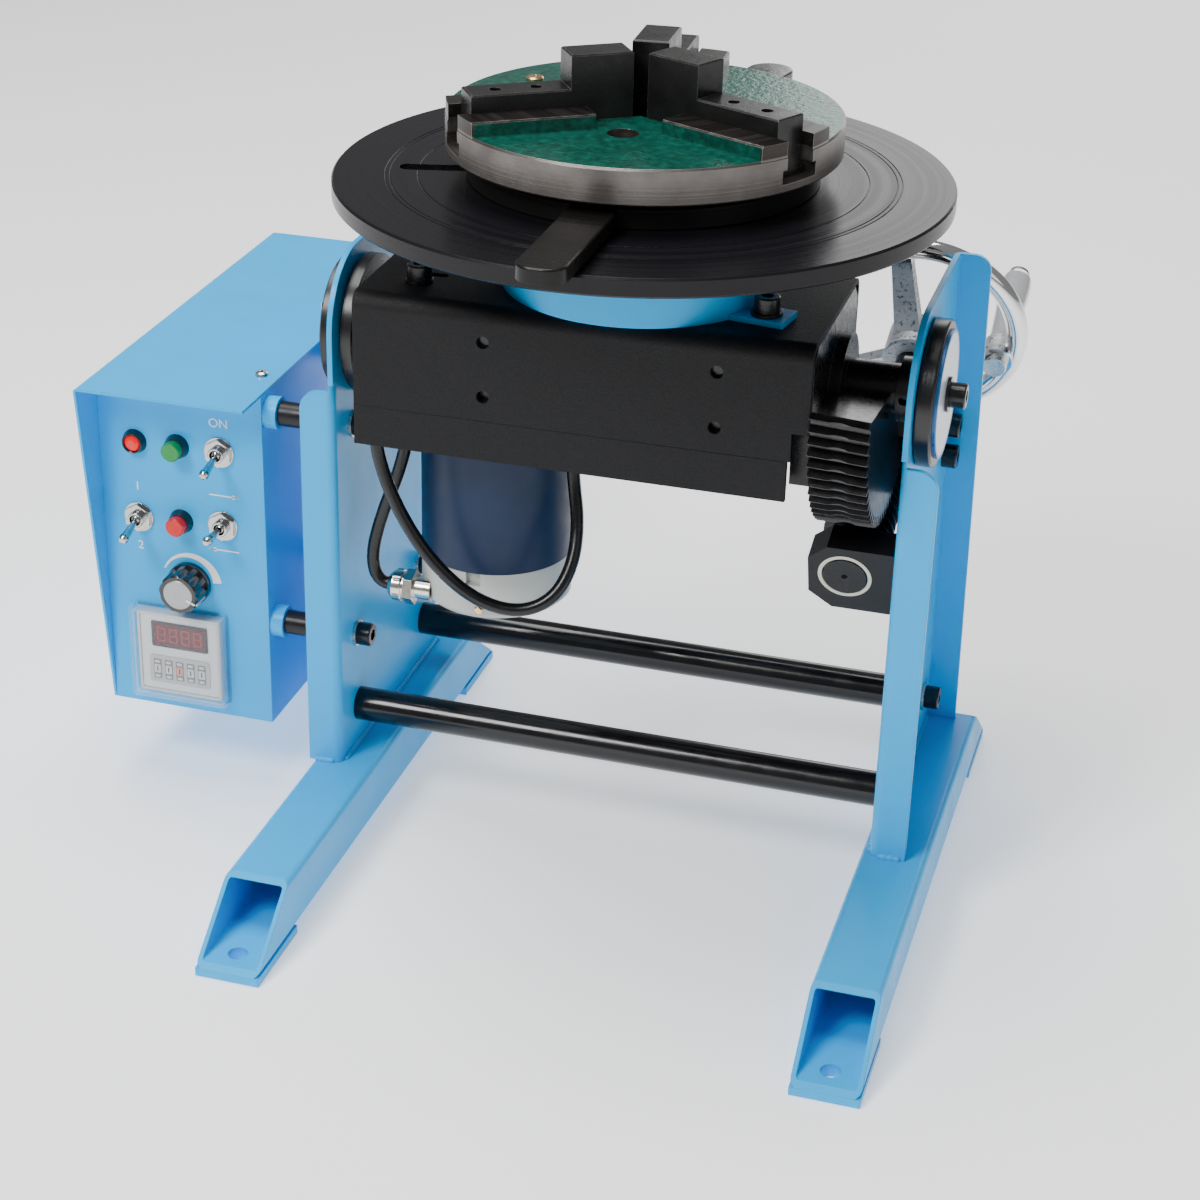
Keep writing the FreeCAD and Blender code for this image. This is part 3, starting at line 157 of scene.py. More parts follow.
def maprange(nt, fac, a, b, c, d):
    r = N(nt, "ShaderNodeMapRange")
    for k, v in (("From Min", a), ("From Max", b), ("To Min", c), ("To Max", d)):
        r.inputs[k].default_value = v
    nt.links.new(fac, r.inputs["Value"])
    return r.outputs["Result"]


def math_n(nt, op, a, b=None):
    m = N(nt, "ShaderNodeMath")
    m.operation = op
    for i, v in enumerate((a, b)):
        if v is None:
            continue
        if isinstance(v, (int, float)):
            m.inputs[i].default_value = v
        else:
            nt.links.new(v, m.inputs[i])
    return m.outputs[0]


def mixc(nt, fac, a, b):
    m = N(nt, "ShaderNodeMix")
    m.data_type = "RGBA"
    for i, v in ((0, fac), (6, a), (7, b)):
        if isinstance(v, (int, float)):
            m.inputs[i].default_value = v
        elif isinstance(v, (tuple, list)):
            m.inputs[i].default_value = (*v, 1) if len(v) == 3 else v
        else:
            nt.links.new(v, m.inputs[i])
    return m.outputs[2]


def bump(nt, bsdf, height, strength, dist, normal=None):
    b = N(nt, "ShaderNodeBump")
    b.inputs["Strength"].default_value = strength
    b.inputs["Distance"].default_value = dist
    nt.links.new(height, b.inputs["Height"])
    if normal is not None:
        nt.links.new(normal, b.inputs["Normal"])
    nt.links.new(b.outputs["Normal"], bsdf.inputs["Normal"])
    return b.outputs["Normal"]


def bevel(nt, radius):
    b = N(nt, "ShaderNodeBevel")
    b.samples = 4
    b.inputs["Radius"].default_value = radius
    return b.outputs["Normal"]


def edge_mask(nt, radius):
    """1 on edges, 0 on faces."""
    b = bevel(nt, radius)
    g = N(nt, "ShaderNodeNewGeometry")
    d = N(nt, "ShaderNodeVectorMath")
    d.operation = "DOT_PRODUCT"
    nt.links.new(b, d.inputs[0])
    nt.links.new(g.outputs["Normal"], d.inputs[1])
    return maprange(nt, d.outputs["Value"], 0.995, 0.90, 0.0, 1.0)


def scaled(c, k):
    return tuple(min(1.0, v * k) for v in c)


def plain(name, color, rough, metal=0.0, var=0.06, nscale=60.0, bscale=300.0,
          bstr=0.04, coat=0.0, coat_rough=0.1, bev=0.0004, ior=1.5,
          rvar=0.06, edge_wear_and_highlight=None, edge_r=0.0006, spec=0.5):
    m, nt, bs = new_mat(name)
    vec = coords(nt)
    n1 = noise(nt, vec, nscale, 4.0)
    col = ramp(nt, n1, [(0.3, scaled(color, 1 - var)), (0.7, scaled(color, 1 + var))])
    # lighter edge colour: partly worn bare metal, partly a painted highlight along the edges
    if edge_wear_and_highlight is not None:
        em = edge_mask(nt, edge_r)
        n3 = noise(nt, vec, 180.0, 3.0)
        em = math_n(nt, "MULTIPLY", em, maprange(nt, n3, 0.35, 0.65, 0.3, 1.0))
        col = mixc(nt, em, col, edge_wear_and_highlight)
    nt.links.new(col, bs.inputs["Base Color"])
    n2 = noise(nt, vec, nscale * 2.3, 3.0)
    nt.links.new(maprange(nt, n2, 0.3, 0.7, max(0.02, rough - rvar), rough + rvar),
                 bs.inputs["Roughness"])
    bs.inputs["Metallic"].default_value = metal
    bs.inputs["IOR"].default_value = ior
    bs.inputs["Specular IOR Level"].default_value = spec
    if coat:
        bs.inputs["Coat Weight"].default_value = coat
        bs.inputs["Coat Roughness"].default_value = coat_rough
    n4 = noise(nt, vec, bscale, 4.0)
    bump(nt, bs, n4, bstr, 0.0005, bevel(nt, bev) if bev else None)
    return m


def turned(name, color, rough, axis_pt, metal=1.0, ring_scale=900.0,
           bstr=0.12, axis="Z", var=0.10, dark=None, spec=0.5):
    """Lathe-turned metal: fine concentric rings about an axis."""
    m, nt, bs = new_mat(name)
    vec = coords(nt)
    sub = N(nt, "ShaderNodeVectorMath")
    sub.operation = "SUBTRACT"
    nt.links.new(vec, sub.inputs[0])
    sub.inputs[1].default_value = tuple(axis_pt)
    sep = N(nt, "ShaderNodeSeparateXYZ")
    nt.links.new(sub.outputs[0], sep.inputs[0])
    a, b = {"Z": ("X", "Y"), "X": ("Y", "Z"), "Y": ("X", "Z")}[axis]
    r2 = math_n(nt, "ADD", math_n(nt, "POWER", sep.outputs[a], 2.0),
                math_n(nt, "POWER", sep.outputs[b], 2.0))
    r = math_n(nt, "SQRT", r2)
    comb = N(nt, "ShaderNodeCombineXYZ")
    nt.links.new(r, comb.inputs[0])
    nt.links.new(math_n(nt, "MULTIPLY", sep.outputs[axis], 1.0), comb.inputs[1])
    n1 = noise(nt, comb.outputs[0], ring_scale, 3.0, 0.7)
    n0 = noise(nt, comb.outputs[0], ring_scale * 0.12, 3.0, 0.6)
    nb = noise(nt, vec, 35.0, 4.0)
    c = ramp(nt, n0, [(0.3, scaled(color, 1 - var)), (0.7, scaled(color, 1 + var))])
    if dark is not None:
        c = mixc(nt, maprange(nt, nb, 0.45, 0.75, 0.0, 0.6), c, dark)
    nt.links.new(c, bs.inputs["Base Color"])
    bs.inputs["Metallic"].default_value = metal
    bs.inputs["Specular IOR Level"].default_value = spec
    nt.links.new(maprange(nt, n0, 0.3, 0.7, rough * 0.8, rough * 1.25),
                 bs.inputs["Roughness"])
    bump(nt, bs, n1, bstr, 0.0004, bevel(nt, 0.0004))
    return m


BLUE = (0.0005, 0.43, 0.90)
M = {}
M["blue"] = plain("blue_paint", BLUE, 0.34, 0.0, var=0.03, nscale=18.0, bscale=140.0,
                  bstr=0.04, coat=0.05, coat_rough=0.12, bev=0.0008, spec=0.2)
M["texblack"] = plain("black_texture", (0.004, 0.004, 0.005), 0.58, 0.0, var=0.3,
                      nscale=500.0, bscale=900.0, bstr=0.55, bev=0.0008, rvar=0.1,
                      spec=0.28)
# black oxide with lighter edges: partly wear, partly a painted highlight
M["oxide"] = plain("black_oxide", (0.008, 0.008, 0.009), 0.26, 0.0, var=0.35,
                   nscale=90.0, bscale=400.0, bstr=0.10, edge_wear_and_highlight=(0.10, 0.10, 0.11),
                   edge_r=0.0004, spec=0.35)
M["bolt"] = plain("bolt_black", (0.008, 0.008, 0.009), 0.24, 0.0, var=0.3,
                  nscale=120.0, bscale=500.0, bstr=0.08, bev=0.0003, spec=0.45)
M["anod"] = plain("black_anodised", (0.009, 0.009, 0.011), 0.33, 0.0, var=0.2,
                  nscale=60.0, bscale=700.0, bstr=0.10, bev=0.0004, spec=0.3)
M["blackpaint"] = plain("black_gloss", (0.006, 0.006, 0.007), 0.20, 0.0, var=0.2,
                        nscale=40.0, bscale=200.0, bstr=0.05, coat=0.15, bev=0.0006,
                        spec=0.4)
M["chrome"] = plain("chrome_plate", (0.52, 0.515, 0.50), 0.14, 1.0, var=0.08,
                    nscale=80.0, bscale=500.0, bstr=0.04, bev=0.0003, rvar=0.05)
M["nickel"] = plain("nickel_plate", (0.72, 0.69, 0.62), 0.20, 1.0, var=0.08,
                    nscale=80.0, bscale=500.0, bstr=0.06, bev=0.0003)
M["zinc"] = plain("zinc_plate", (0.62, 0.62, 0.60), 0.28, 1.0, var=0.10,
                  nscale=120.0, bscale=500.0, bstr=0.08, bev=0.0003)
M["brass"] = plain("brass", (0.72, 0.50, 0.28), 0.28, 1.0, var=0.12, nscale=120.0,
                   bscale=500.0, bstr=0.1, bev=0.0003)
M["bronze"] = plain("sintered_bronze", (0.66, 0.62, 0.50), 0.38, 0.7, var=0.10,
                    nscale=200.0, bscale=700.0, bstr=0.15)
M["navy"] = plain("navy_paint", (0.006, 0.020, 0.060), 0.42, 0.0, var=0.08,
                  nscale=40.0, bscale=260.0, bstr=0.12, coat=0.0, bev=0.0006,
                  spec=0.3)
M["white"] = plain("motor_cap_white", (0.50, 0.52, 0.49), 0.40, 0.0, var=0.03,
                   nscale=40.0, bscale=500.0, bstr=0.10, bev=0.0008, spec=0.35)
M["cable"] = plain("cable_jacket", (0.005, 0.005, 0.006), 0.28, 0.0, var=0.2,
                   nscale=60.0, bscale=350.0, bstr=0.10, bev=0, spec=0.4)
M["blackplastic"] = plain("black_plastic", (0.012, 0.012, 0.012), 0.25, 0.0,
                          var=0.2, nscale=90.0, bscale=400.0, bstr=0.05, coat=0.2,
                          bev=0.0003)
M["knob"] = plain("knob_plastic", (0.014, 0.014, 0.014), 0.22, 0.0, var=0.2,
                  nscale=90.0, bscale=400.0, bstr=0.05, coat=0.4, bev=0.0003)
M["grip"] = plain("grip_plastic", (0.74, 0.75, 0.77), 0.20, 0.55, var=0.03,
                  nscale=50.0, bscale=300.0, bstr=0.03, coat=0.3, bev=0.0008)
M["timergrey"] = plain("timer_grey", (0.60, 0.60, 0.58), 0.42, 0.0, var=0.04,
                       nscale=60.0, bscale=600.0, bstr=0.10, bev=0.0005)
M["board"] = plain("board_green", (0.02, 0.16, 0.06), 0.45, 0.0, var=0.3,
                   nscale=120.0, bscale=400.0, bstr=0.10)
M["whitemark"] = plain("white_print", (0.88, 0.88, 0.88), 0.45, 0.0, var=0.03,
                       nscale=300.0, bscale=900.0, bstr=0.05, bev=0)
M["darkmark"] = plain("dark_print", (0.03, 0.03, 0.03), 0.45, 0.0, var=0.1,
                      nscale=300.0, bscale=900.0, bstr=0.05, bev=0)
M["steel"] = plain("ground_steel", (0.46, 0.46, 0.47), 0.25, 1.0, var=0.10,
                   nscale=90.0, bscale=500.0, bstr=0.10)

AX = P(2.5, 18, 0)
M["table"] = turned("table_black", (0.006, 0.0055, 0.0075), 0.26, AX, metal=0.0,
                    ring_scale=1500.0, bstr=0.09, var=0.25, spec=0.25)
M["scroll"] = turned("scroll_black", (0.007, 0.0065, 0.006), 0.28, AX, metal=0.0,
                     ring_scale=1200.0, bstr=0.09, var=0.25, spec=0.25)
TILT = P(0, 18, 285)
M["disc"] = turned("disc_black", (0.008, 0.008, 0.009), 0.28, TILT, metal=0.0,
                   ring_scale=1200.0, bstr=0.15, axis="X", var=0.2)
M["dial"] = turned("dial_satin", (0.66, 0.70, 0.76), 0.34, TILT, metal=0.5,
                   ring_scale=900.0, bstr=0.10, axis="X", var=0.05)
M["dialrim"] = plain("dial_rim_blue", (0.02, 0.16, 0.42), 0.3, 0.3, var=0.05,
                     nscale=90.0, bscale=500.0, bstr=0.05, bev=0)


def translucent_plastic(name, color, glow):
    m, nt, bs = new_mat(name)
    vec = coords(nt)
    n1 = noise(nt, vec, 160.0, 3.0)
    nt.links.new(ramp(nt, n1, [(0.3, scaled(color, .85)), (0.7, color)]),
                 bs.inputs["Base Color"])
    bs.inputs["Roughness"].default_value = 0.22
    bs.inputs["Subsurface Weight"].default_value = 0.15
    bs.inputs["Subsurface Radius"].default_value = (0.004, 0.001, 0.001)
    bs.inputs["Coat Weight"].default_value = 0.2
    bs.inputs["Specular IOR Level"].default_value = 0.35
    # emission: the lamp's own light for the pilot lens and display segments; on the push
    # buttons, which are no lamps, a painted glow
    bs.inputs["Emission Color"].default_value = (*color, 1)
    bs.inputs["Emission Strength"].default_value = glow
    return m


M["red"] = translucent_plastic("red_lens", (0.80, 0.006, 0.004), 0.35)
# the two push buttons are no lamps: their emission is a painted glow
M["redbtn"] = translucent_plastic("red_button", (0.62, 0.006, 0.004), 0.12)
M["green"] = translucent_plastic("green_button", (0.002, 0.27, 0.045), 0.08)


def clear():
    m, nt, bs = new_mat("clear_cover")
    bs.inputs["Base Color"].default_value = (0.86, 0.92, 1.0, 1)
    bs.inputs["IOR"].default_value = 1.5
    bs.inputs["Specular IOR Level"].default_value = 0.6
    vec = coords(nt)
    n1 = noise(nt, vec, 220.0, 3.0)
    nt.links.new(maprange(nt, n1, 0.3, 0.7, 0.04, 0.12), bs.inputs["Roughness"])
    # opacity rises at glancing angles and along the edges: a painted sheen and edge highlight
    # on the clear cover
    lw = N(nt, "ShaderNodeLayerWeight")
    lw.inputs["Blend"].default_value = 0.25
    a = maprange(nt, lw.outputs["Fresnel"], 0.05, 0.6, 0.05, 0.34)
    em = edge_mask(nt, 0.0012)
    a = math_n(nt, "MAXIMUM", a, math_n(nt, "MULTIPLY", em, 0.55))
    nt.links.new(a, bs.inputs["Alpha"])
    return m


M["clear"] = clear()


def chuck_material(name, with_green):
    """Turned brown-grey steel with machining lines; recessed green sectors."""
    m, nt, bs = new_mat(name)
    vec = coords(nt)
    sub = N(nt, "ShaderNodeVectorMath")
    sub.operation = "SUBTRACT"
    nt.links.new(vec, sub.inputs[0])
    sub.inputs[1].default_value = tuple(AX)
    sep = N(nt, "ShaderNodeSeparateXYZ")
    nt.links.new(sub.outputs[0], sep.inputs[0])
    r = math_n(nt, "SQRT", math_n(nt, "ADD", math_n(nt, "POWER", sep.outputs["X"], 2.0),
                                  math_n(nt, "POWER", sep.outputs["Y"], 2.0)))
    comb = N(nt, "ShaderNodeCombineXYZ")
    nt.links.new(r, comb.inputs[0])
    nt.links.new(sep.outputs["Z"], comb.inputs[1])
    nr = noise(nt, comb.outputs[0], 900.0, 3.0, 0.7)
    nl = noise(nt, comb.outputs[0], 160.0, 3.0, 0.6)
    nb = noise(nt, vec, 30.0, 5.0)
    # the top faces are the same turned steel as the rim, painted darker: a painted reflection
    # shade
    rimc = ramp(nt, nl, [(0.25, (0.15, 0.135, 0.125)), (0.75, (0.30, 0.28, 0.265))])
    top_reflection_dark = ramp(nt, nl, [(0.25, (0.030, 0.026, 0.024)), (0.75, (0.085, 0.076, 0.070))])
    ztop = maprange(nt, sep.outputs["Z"], 0.4142, 0.4146, 0.0, 1.0)
    steel = mixc(nt, ztop, rimc, top_reflection_dark)
    steel = mixc(nt, maprange(nt, nb, 0.4, 0.7, 0.0, 0.5), steel, (0.045, 0.037, 0.033))
    geo = N(nt, "ShaderNodeNewGeometry")
    # lighter edges: partly worn steel, partly a painted highlight
    em = edge_mask(nt, 0.0006)
    steel = mixc(nt, math_n(nt, "MULTIPLY", em, 0.7), steel, (0.42, 0.40, 0.38))
    col = steel
    rough_v = maprange(nt, nl, 0.3, 0.7, 0.25, 0.42)
    height = nr
    if with_green:
        gsep = N(nt, "ShaderNodeSeparateXYZ")
        vt = N(nt, "ShaderNodeVectorTransform")
        vt.vector_type = "NORMAL"
        vt.convert_from = "WORLD"
        vt.convert_to = "OBJECT"
        nt.links.new(geo.outputs["True Normal"], vt.inputs[0])
        nt.links.new(vt.outputs[0], gsep.inputs[0])
        up = math_n(nt, "GREATER_THAN", gsep.outputs["Z"], 0.9)
        lo = math_n(nt, "GREATER_THAN", sep.outputs["Z"], 0.4135)
        hi = math_n(nt, "LESS_THAN", sep.outputs["Z"], 0.4145)
        inr = math_n(nt, "LESS_THAN", r, 0.0972)
        mask = math_n(nt, "MULTIPLY", math_n(nt, "MULTIPLY", up, lo),
                      math_n(nt, "MULTIPLY", hi, inr))
        side = math_n(nt, "LESS_THAN", math_n(nt, "ABSOLUTE", gsep.outputs["Z"]), 0.5)
        zok = math_n(nt, "MULTIPLY", math_n(nt, "GREATER_THAN", sep.outputs["Z"], 0.4139),
                     math_n(nt, "LESS_THAN", sep.outputs["Z"], 0.4203))
        wall = math_n(nt, "MULTIPLY", math_n(nt, "MULTIPLY", side, zok), inr)
        for aa in (-146.5, -26.5, 93.5):
            ca, sa = math.cos(math.radians(aa)), math.sin(math.radians(aa))
            yl = math_n(nt, "SUBTRACT", math_n(nt, "MULTIPLY", sep.outputs["Y"], ca),
                        math_n(nt, "MULTIPLY", sep.outputs["X"], sa))
            xl = math_n(nt, "ADD", math_n(nt, "MULTIPLY", sep.outputs["X"], ca),
                        math_n(nt, "MULTIPLY", sep.outputs["Y"], sa))
            ins = math_n(nt, "MULTIPLY",
                         math_n(nt, "LESS_THAN", math_n(nt, "ABSOLUTE", yl), 0.0105),
                         math_n(nt, "GREATER_THAN", xl, 0.0))
            wall = math_n(nt, "MULTIPLY", wall, math_n(nt, "SUBTRACT", 1.0, ins))
        mask = math_n(nt, "MAXIMUM", mask, wall)
        ng = noise(nt, vec, 260.0, 3.0, 0.5)
        green = ramp(nt, ng, [(0.3, (0.001, 0.046, 0.032)), (0.55, (0.001, 0.080, 0.056)),
                              (0.8, (0.006, 0.13, 0.095))])
        col = mixc(nt, mask, steel, green)
        rm = N(nt, "ShaderNodeMix")
        nt.links.new(mask, rm.inputs[0])
        nt.links.new(rough_v, rm.inputs[2])
        rm.inputs[3].default_value = 0.22
        rough_v = rm.outputs[0]
        mm = N(nt, "ShaderNodeMix")
        nt.links.new(mask, mm.inputs[0])
        mm.inputs[2].default_value = 0.9
        mm.inputs[3].default_value = 0.15
        nt.links.new(mm.outputs[0], bs.inputs["Metallic"])
        hm = N(nt, "ShaderNodeMix")
        nt.links.new(mask, hm.inputs[0])
        nt.links.new(nr, hm.inputs[2])
        ngb = noise(nt, vec, 330.0, 2.0, 0.5)
        nt.links.new(math_n(nt, "MULTIPLY", ngb, 3.0), hm.inputs[3])
        height = hm.outputs[0]
    else:
        bs.inputs["Metallic"].default_value = 0.9
    nt.links.new(col, bs.inputs["Base Color"])
    nt.links.new(rough_v, bs.inputs["Roughness"])
    bump(nt, bs, height, 0.22, 0.0004, bevel(nt, 0.0004))
    return m


M["chuck"] = chuck_material("chuck_steel", True)
# jaws, lever and gear take lighter edges: partly wear, partly a painted highlight
M["jaw"] = plain("jaw_black", (0.009, 0.0088, 0.0085), 0.30, 0.0, var=0.4, nscale=55.0,
                 bscale=420.0, bstr=0.14, edge_wear_and_highlight=(0.16, 0.15, 0.14), edge_r=0.0005,
                 spec=0.35)
M["lever"] = plain("lever_black", (0.008, 0.008, 0.0085), 0.16, 0.0, var=0.3,
                   nscale=55.0, bscale=240.0, bstr=0.10, coat=0.1, bev=0.0008,
                   edge_wear_and_highlight=(0.10, 0.10, 0.11), edge_r=0.0008, spec=0.6)
M["gearblack"] = plain("gear_greased", (0.009, 0.009, 0.010), 0.18, 0.0, var=0.4,
                       nscale=140.0, bscale=500.0, bstr=0.18, bev=0.0003,
                       edge_wear_and_highlight=(0.11, 0.11, 0.115), edge_r=0.0005, spec=0.6)


def wheel_material():
    m, nt, bs = new_mat("wheel_cast")
    vec = coords(nt)
    wf = P(122.1, 45.49, 205.62)
    u = (0.0, math.cos(math.radians(19.1)), math.sin(math.radians(19.1)))
    sub = N(nt, "ShaderNodeVectorMath")
    sub.operation = "SUBTRACT"
    nt.links.new(vec, sub.inputs[0])
    sub.inputs[1].default_value = tuple(wf)
    dot = N(nt, "ShaderNodeVectorMath")
    dot.operation = "DOT_PRODUCT"
    nt.links.new(sub.outputs[0], dot.inputs[0])
    dot.inputs[1].default_value = u
    ln = N(nt, "ShaderNodeVectorMath")
    ln.operation = "LENGTH"
    nt.links.new(sub.outputs[0], ln.inputs[0])
    r = math_n(nt, "SQRT", math_n(nt, "SUBTRACT", math_n(nt, "POWER", ln.outputs["Value"], 2.0),
                                  math_n(nt, "POWER", dot.outputs["Value"], 2.0)))
    rimm = maprange(nt, r, 0.0465, 0.0495, 0.0, 1.0)
    n1 = noise(nt, vec, 320.0, 4.0, 0.6)
    n2 = noise(nt, vec, 60.0, 4.0)
    n5 = noise(nt, vec, 420.0, 2.0, 0.7)
    cast = ramp(nt, n2, [(0.3, (0.42, 0.43, 0.44)), (0.7, (0.60, 0.61, 0.62))])
    cast = mixc(nt, maprange(nt, n5, 0.56, 0.66, 0.0, 0.9), cast, (0.10, 0.10, 0.11))
    col = mixc(nt, rimm, cast, (0.80, 0.80, 0.81))
    nt.links.new(col, bs.inputs["Base Color"])
    mm = N(nt, "ShaderNodeMix")
    nt.links.new(rimm, mm.inputs[0])
    mm.inputs[2].default_value = 0.55
    mm.inputs[3].default_value = 1.0
    nt.links.new(mm.outputs[0], bs.inputs["Metallic"])
    rm = N(nt, "ShaderNodeMix")
    nt.links.new(rimm, rm.inputs[0])
    rm.inputs[2].default_value = 0.45
    rm.inputs[3].default_value = 0.10
    nt.links.new(rm.outputs[0], bs.inputs["Roughness"])
    hm = N(nt, "ShaderNodeMix")
    nt.links.new(rimm, hm.inputs[0])
    nt.links.new(n1, hm.inputs[2])
    hm.inputs[3].default_value = 0.5
    bump(nt, bs, hm.outputs[0], 0.7, 0.0008)
    return m


M["wheel"] = wheel_material()

NODE_MAT = {
    "foot_left": "blue", "foot_right": "blue", "upright_left": "blue",
    "upright_right": "blue", "tie_bars": "blackpaint",
    "socket_bolts_frame": "bolt", "washers_frame": "zinc",
    "box_standoffs": "anod", "worm_blocks": "anod", "worm_bushes": "bronze",
    "trunnion_bushes": "bronze", "box_chassis": "blue", "box_cover": "blue",
    "cover_screws": "zinc", "button_bezels": "blackplastic", "pilot_lens": "red",
    "toggle_switches": "chrome", "timer_case": "timergrey", "timer_lid": "clear",
    "power_inlet": "blackplastic", "pedal_socket": "nickel",
    "control_board": "board", "reset_button": "green", "lock_button": "redbtn",
    "power_lever": "chrome", "mode_lever": "chrome", "direction_lever": "chrome",
    "speed_knob": "knob", "trunnion_right": "oxide", "trunnion_left": "oxide",
    "sector_gear": "gearblack", "head_shell": "texblack", "head_skirt": "texblack",
    "trunnion_discs": "disc", "dial_plate": "dial", "socket_bolts_head": "bolt",
    "washers_head": "bolt", "motor_can": "navy", "motor_end_cap": "white",
    "gearbox": "navy", "cable_gland": "nickel", "motor_cable": "cable",
    "bearing_housing": "blue", "spindle_bearings": "steel", "spindle": "steel",
    "driven_gear": "steel", "pinion": "steel", "table": "table",
    "chuck_body": "chuck", "body_lever": "lever", "oil_plug": "brass",
    "table_screws": "bolt", "scroll_plate": "scroll", "jaw_1": "jaw",
    "jaw_2": "jaw", "jaw_3": "jaw", "worm_shaft": "oxide", "handwheel": "wheel",
    "handle_grip": "grip", "handle_bolt": "zinc",
}
for name, ob in NODES.items():
    mt = M[NODE_MAT[name]]
    if not ob.material_slots:
        ob.data.materials.append(mt)
    for s in ob.material_slots:
        s.material = mt
cable.data.materials.append(M["cable"])


# ------------------------------------------------------------------ helpers
def mesh_obj(name, verts, faces, mat, body, smooth=False):
    me = bpy.data.meshes.new(name)
    me.from_pydata([tuple(v) for v in verts], [], faces)
    me.validate()
    bm = bmesh.new()
    bm.from_mesh(me)
    bmesh.ops.recalc_face_normals(bm, faces=bm.faces)
    bm.to_mesh(me)
    bm.free()
    if smooth:
        for p in me.polygons:
            p.use_smooth = True
    ob = bpy.data.objects.new(name, me)
    bpy.context.scene.collection.objects.link(ob)
    me.materials.append(mat)
    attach(ob, body)
    return ob


class Build:
    """Collects simple closed shapes into one mesh, in the drawing frame (mm)."""

    def __init__(self):
        self.v = []
        self.f = []

    def add(self, vs, fs):
        o = len(self.v)
        self.v += [P(*q) for q in vs]
        self.f += [tuple(i + o for i in f) for f in fs]

    def box(self, x0, x1, y0, y1, z0, z1, c=0.0):
        """Box with its four edges along Y chamfered by c."""
        if c <= 0:
            c = min(x1 - x0, z1 - z0) * 0.12
        pr = [(x0 + c, z0), (x1 - c, z0), (x1, z0 + c), (x1, z1 - c), (x1 - c, z1),
              (x0 + c, z1), (x0, z1 - c), (x0, z0 + c)]
        n = len(pr)
        vs = [(a, y0, b) for a, b in pr] + [(a, y1, b) for a, b in pr]
        fs = [tuple(range(n)), tuple(range(2 * n - 1, n - 1, -1))]
        fs += [(i, n + i, n + (i + 1) % n, (i + 1) % n) for i in range(n)]
        self.add(vs, fs)

    def plate(self, pts, y0, y1):
        """Flat outline (x, z) between two depths."""
        n = len(pts)
        vs = [(a, y0, b) for a, b in pts] + [(a, y1, b) for a, b in pts]
        fs = [tuple(range(n)), tuple(range(2 * n - 1, n - 1, -1))]
        fs += [(i, n + i, n + (i + 1) % n, (i + 1) % n) for i in range(n)]
        self.add(vs, fs)

    def lathe(self, prof, origin, axis, seg=48, flute=None):
        """Closed profile of (r, h) about an axis from the origin."""
        ax = Vector(axis).normalized()
        t = Vector((0, 0, 1)) if abs(ax.z) < 0.9 else Vector((1, 0, 0))
        e1 = ax.cross(t).normalized()
        e2 = ax.cross(e1).normalized()
        o = Vector(origin)
        n = len(prof)
        vs = []
        for i in range(seg):
            a = 2 * math.pi * i / seg
            for r, h in prof:
                rr = r * (flute(a, h, r) if flute else 1.0)
                vs.append(tuple(o + ax * h + e1 * rr * math.cos(a)
                                + e2 * rr * math.sin(a)))
        fs = []
        for i in range(seg):
            j = (i + 1) % seg
            for k in range(n - 1):
                fs.append((i * n + k, j * n + k, j * n + k + 1, i * n + k + 1))
        fs.append(tuple(i * n for i in range(seg)))
        fs.append(tuple((seg - 1 - i) * n + n - 1 for i in range(seg)))
        self.add(vs, fs)

    def obj(self, name, mat, body, smooth=False, slot=None):
        return mesh_obj(name, self.v, self.f, mat, body, smooth)


PY = -7.6     # front face of the panel


def text_mesh(name, body_text, size, x, z, mat):
    cu = bpy.data.curves.new(name + "_c", "FONT")
    cu.body = body_text
    cu.size = size / 1000
    cu.align_x = "CENTER"
    cu.align_y = "CENTER"
    cu.extrude = 0.00006
    tmp = bpy.data.objects.new(name + "_t", cu)
    bpy.context.scene.collection.objects.link(tmp)
    bpy.context.view_layer.update()
    me = bpy.data.meshes.new_from_object(tmp)
    bpy.data.objects.remove(tmp)
    ob = bpy.data.objects.new(name, me)
    bpy.context.scene.collection.objects.link(ob)
    me.transform(Matrix.Rotation(math.pi / 2, 4, "X"))
    me.transform(Matrix.Translation(P(x, PY - 0.07, z)))
    me.materials.clear()
    me.materials.append(mat)
    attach(ob, "frame")
    return ob


# --------------------------------------------------- printed marks on panel
def panel_marks():
    b = Build()
    y0, y1 = PY - 0.12, PY + 0.05
    for (x, z, s) in ((-221.8, 183.4, 1), (-222.4, 150.2, -1)):
        b.plate([(x - 8.5, z - .35), (x + 8.5, z - .35), (x + 8.5, z + .35),
                 (x - 8.5, z + .35)], y0, y1)
        tip = x + s * 9.5
        b.plate([(tip, z), (tip - s * 4.2, z + 1.3), (tip - s * 4.2, z - 1.3)], y0, y1)
    # tapered arc above the knob
    cx, cz = -244.4, 127.3
    n = 28
    for i in range(n):
        a0 = math.radians(156 - 150 * i / n)
        a1 = math.radians(156 - 150 * (i + 1) / n)
        w0 = 0.8 + 4.4 * i / n
        w1 = 0.8 + 4.4 * (i + 1) / n
        r = 16.6
        b.plate([(cx + (r - w0 / 2) * math.cos(a0), cz + (r - w0 / 2) * math.sin(a0)),
                 (cx + (r + w0 / 2) * math.cos(a0), cz + (r + w0 / 2) * math.sin(a0)),
                 (cx + (r + w1 / 2) * math.cos(a1), cz + (r + w1 / 2) * math.sin(a1)),
                 (cx + (r - w1 / 2) * math.cos(a1), cz + (r - w1 / 2) * math.sin(a1))],
                y0, y1)
    b.obj("panel_marks", M["whitemark"], "frame", slot="timer_grey")
    text_mesh("mark_on", "ON", 7.2, -223.2, 226.0, M["whitemark"])
    text_mesh("mark_one", "1", 7.2, -273.5, 182.0, M["whitemark"])
    text_mesh("mark_two", "2", 7.2, -273.5, 146.0, M["whitemark"])


panel_marks()


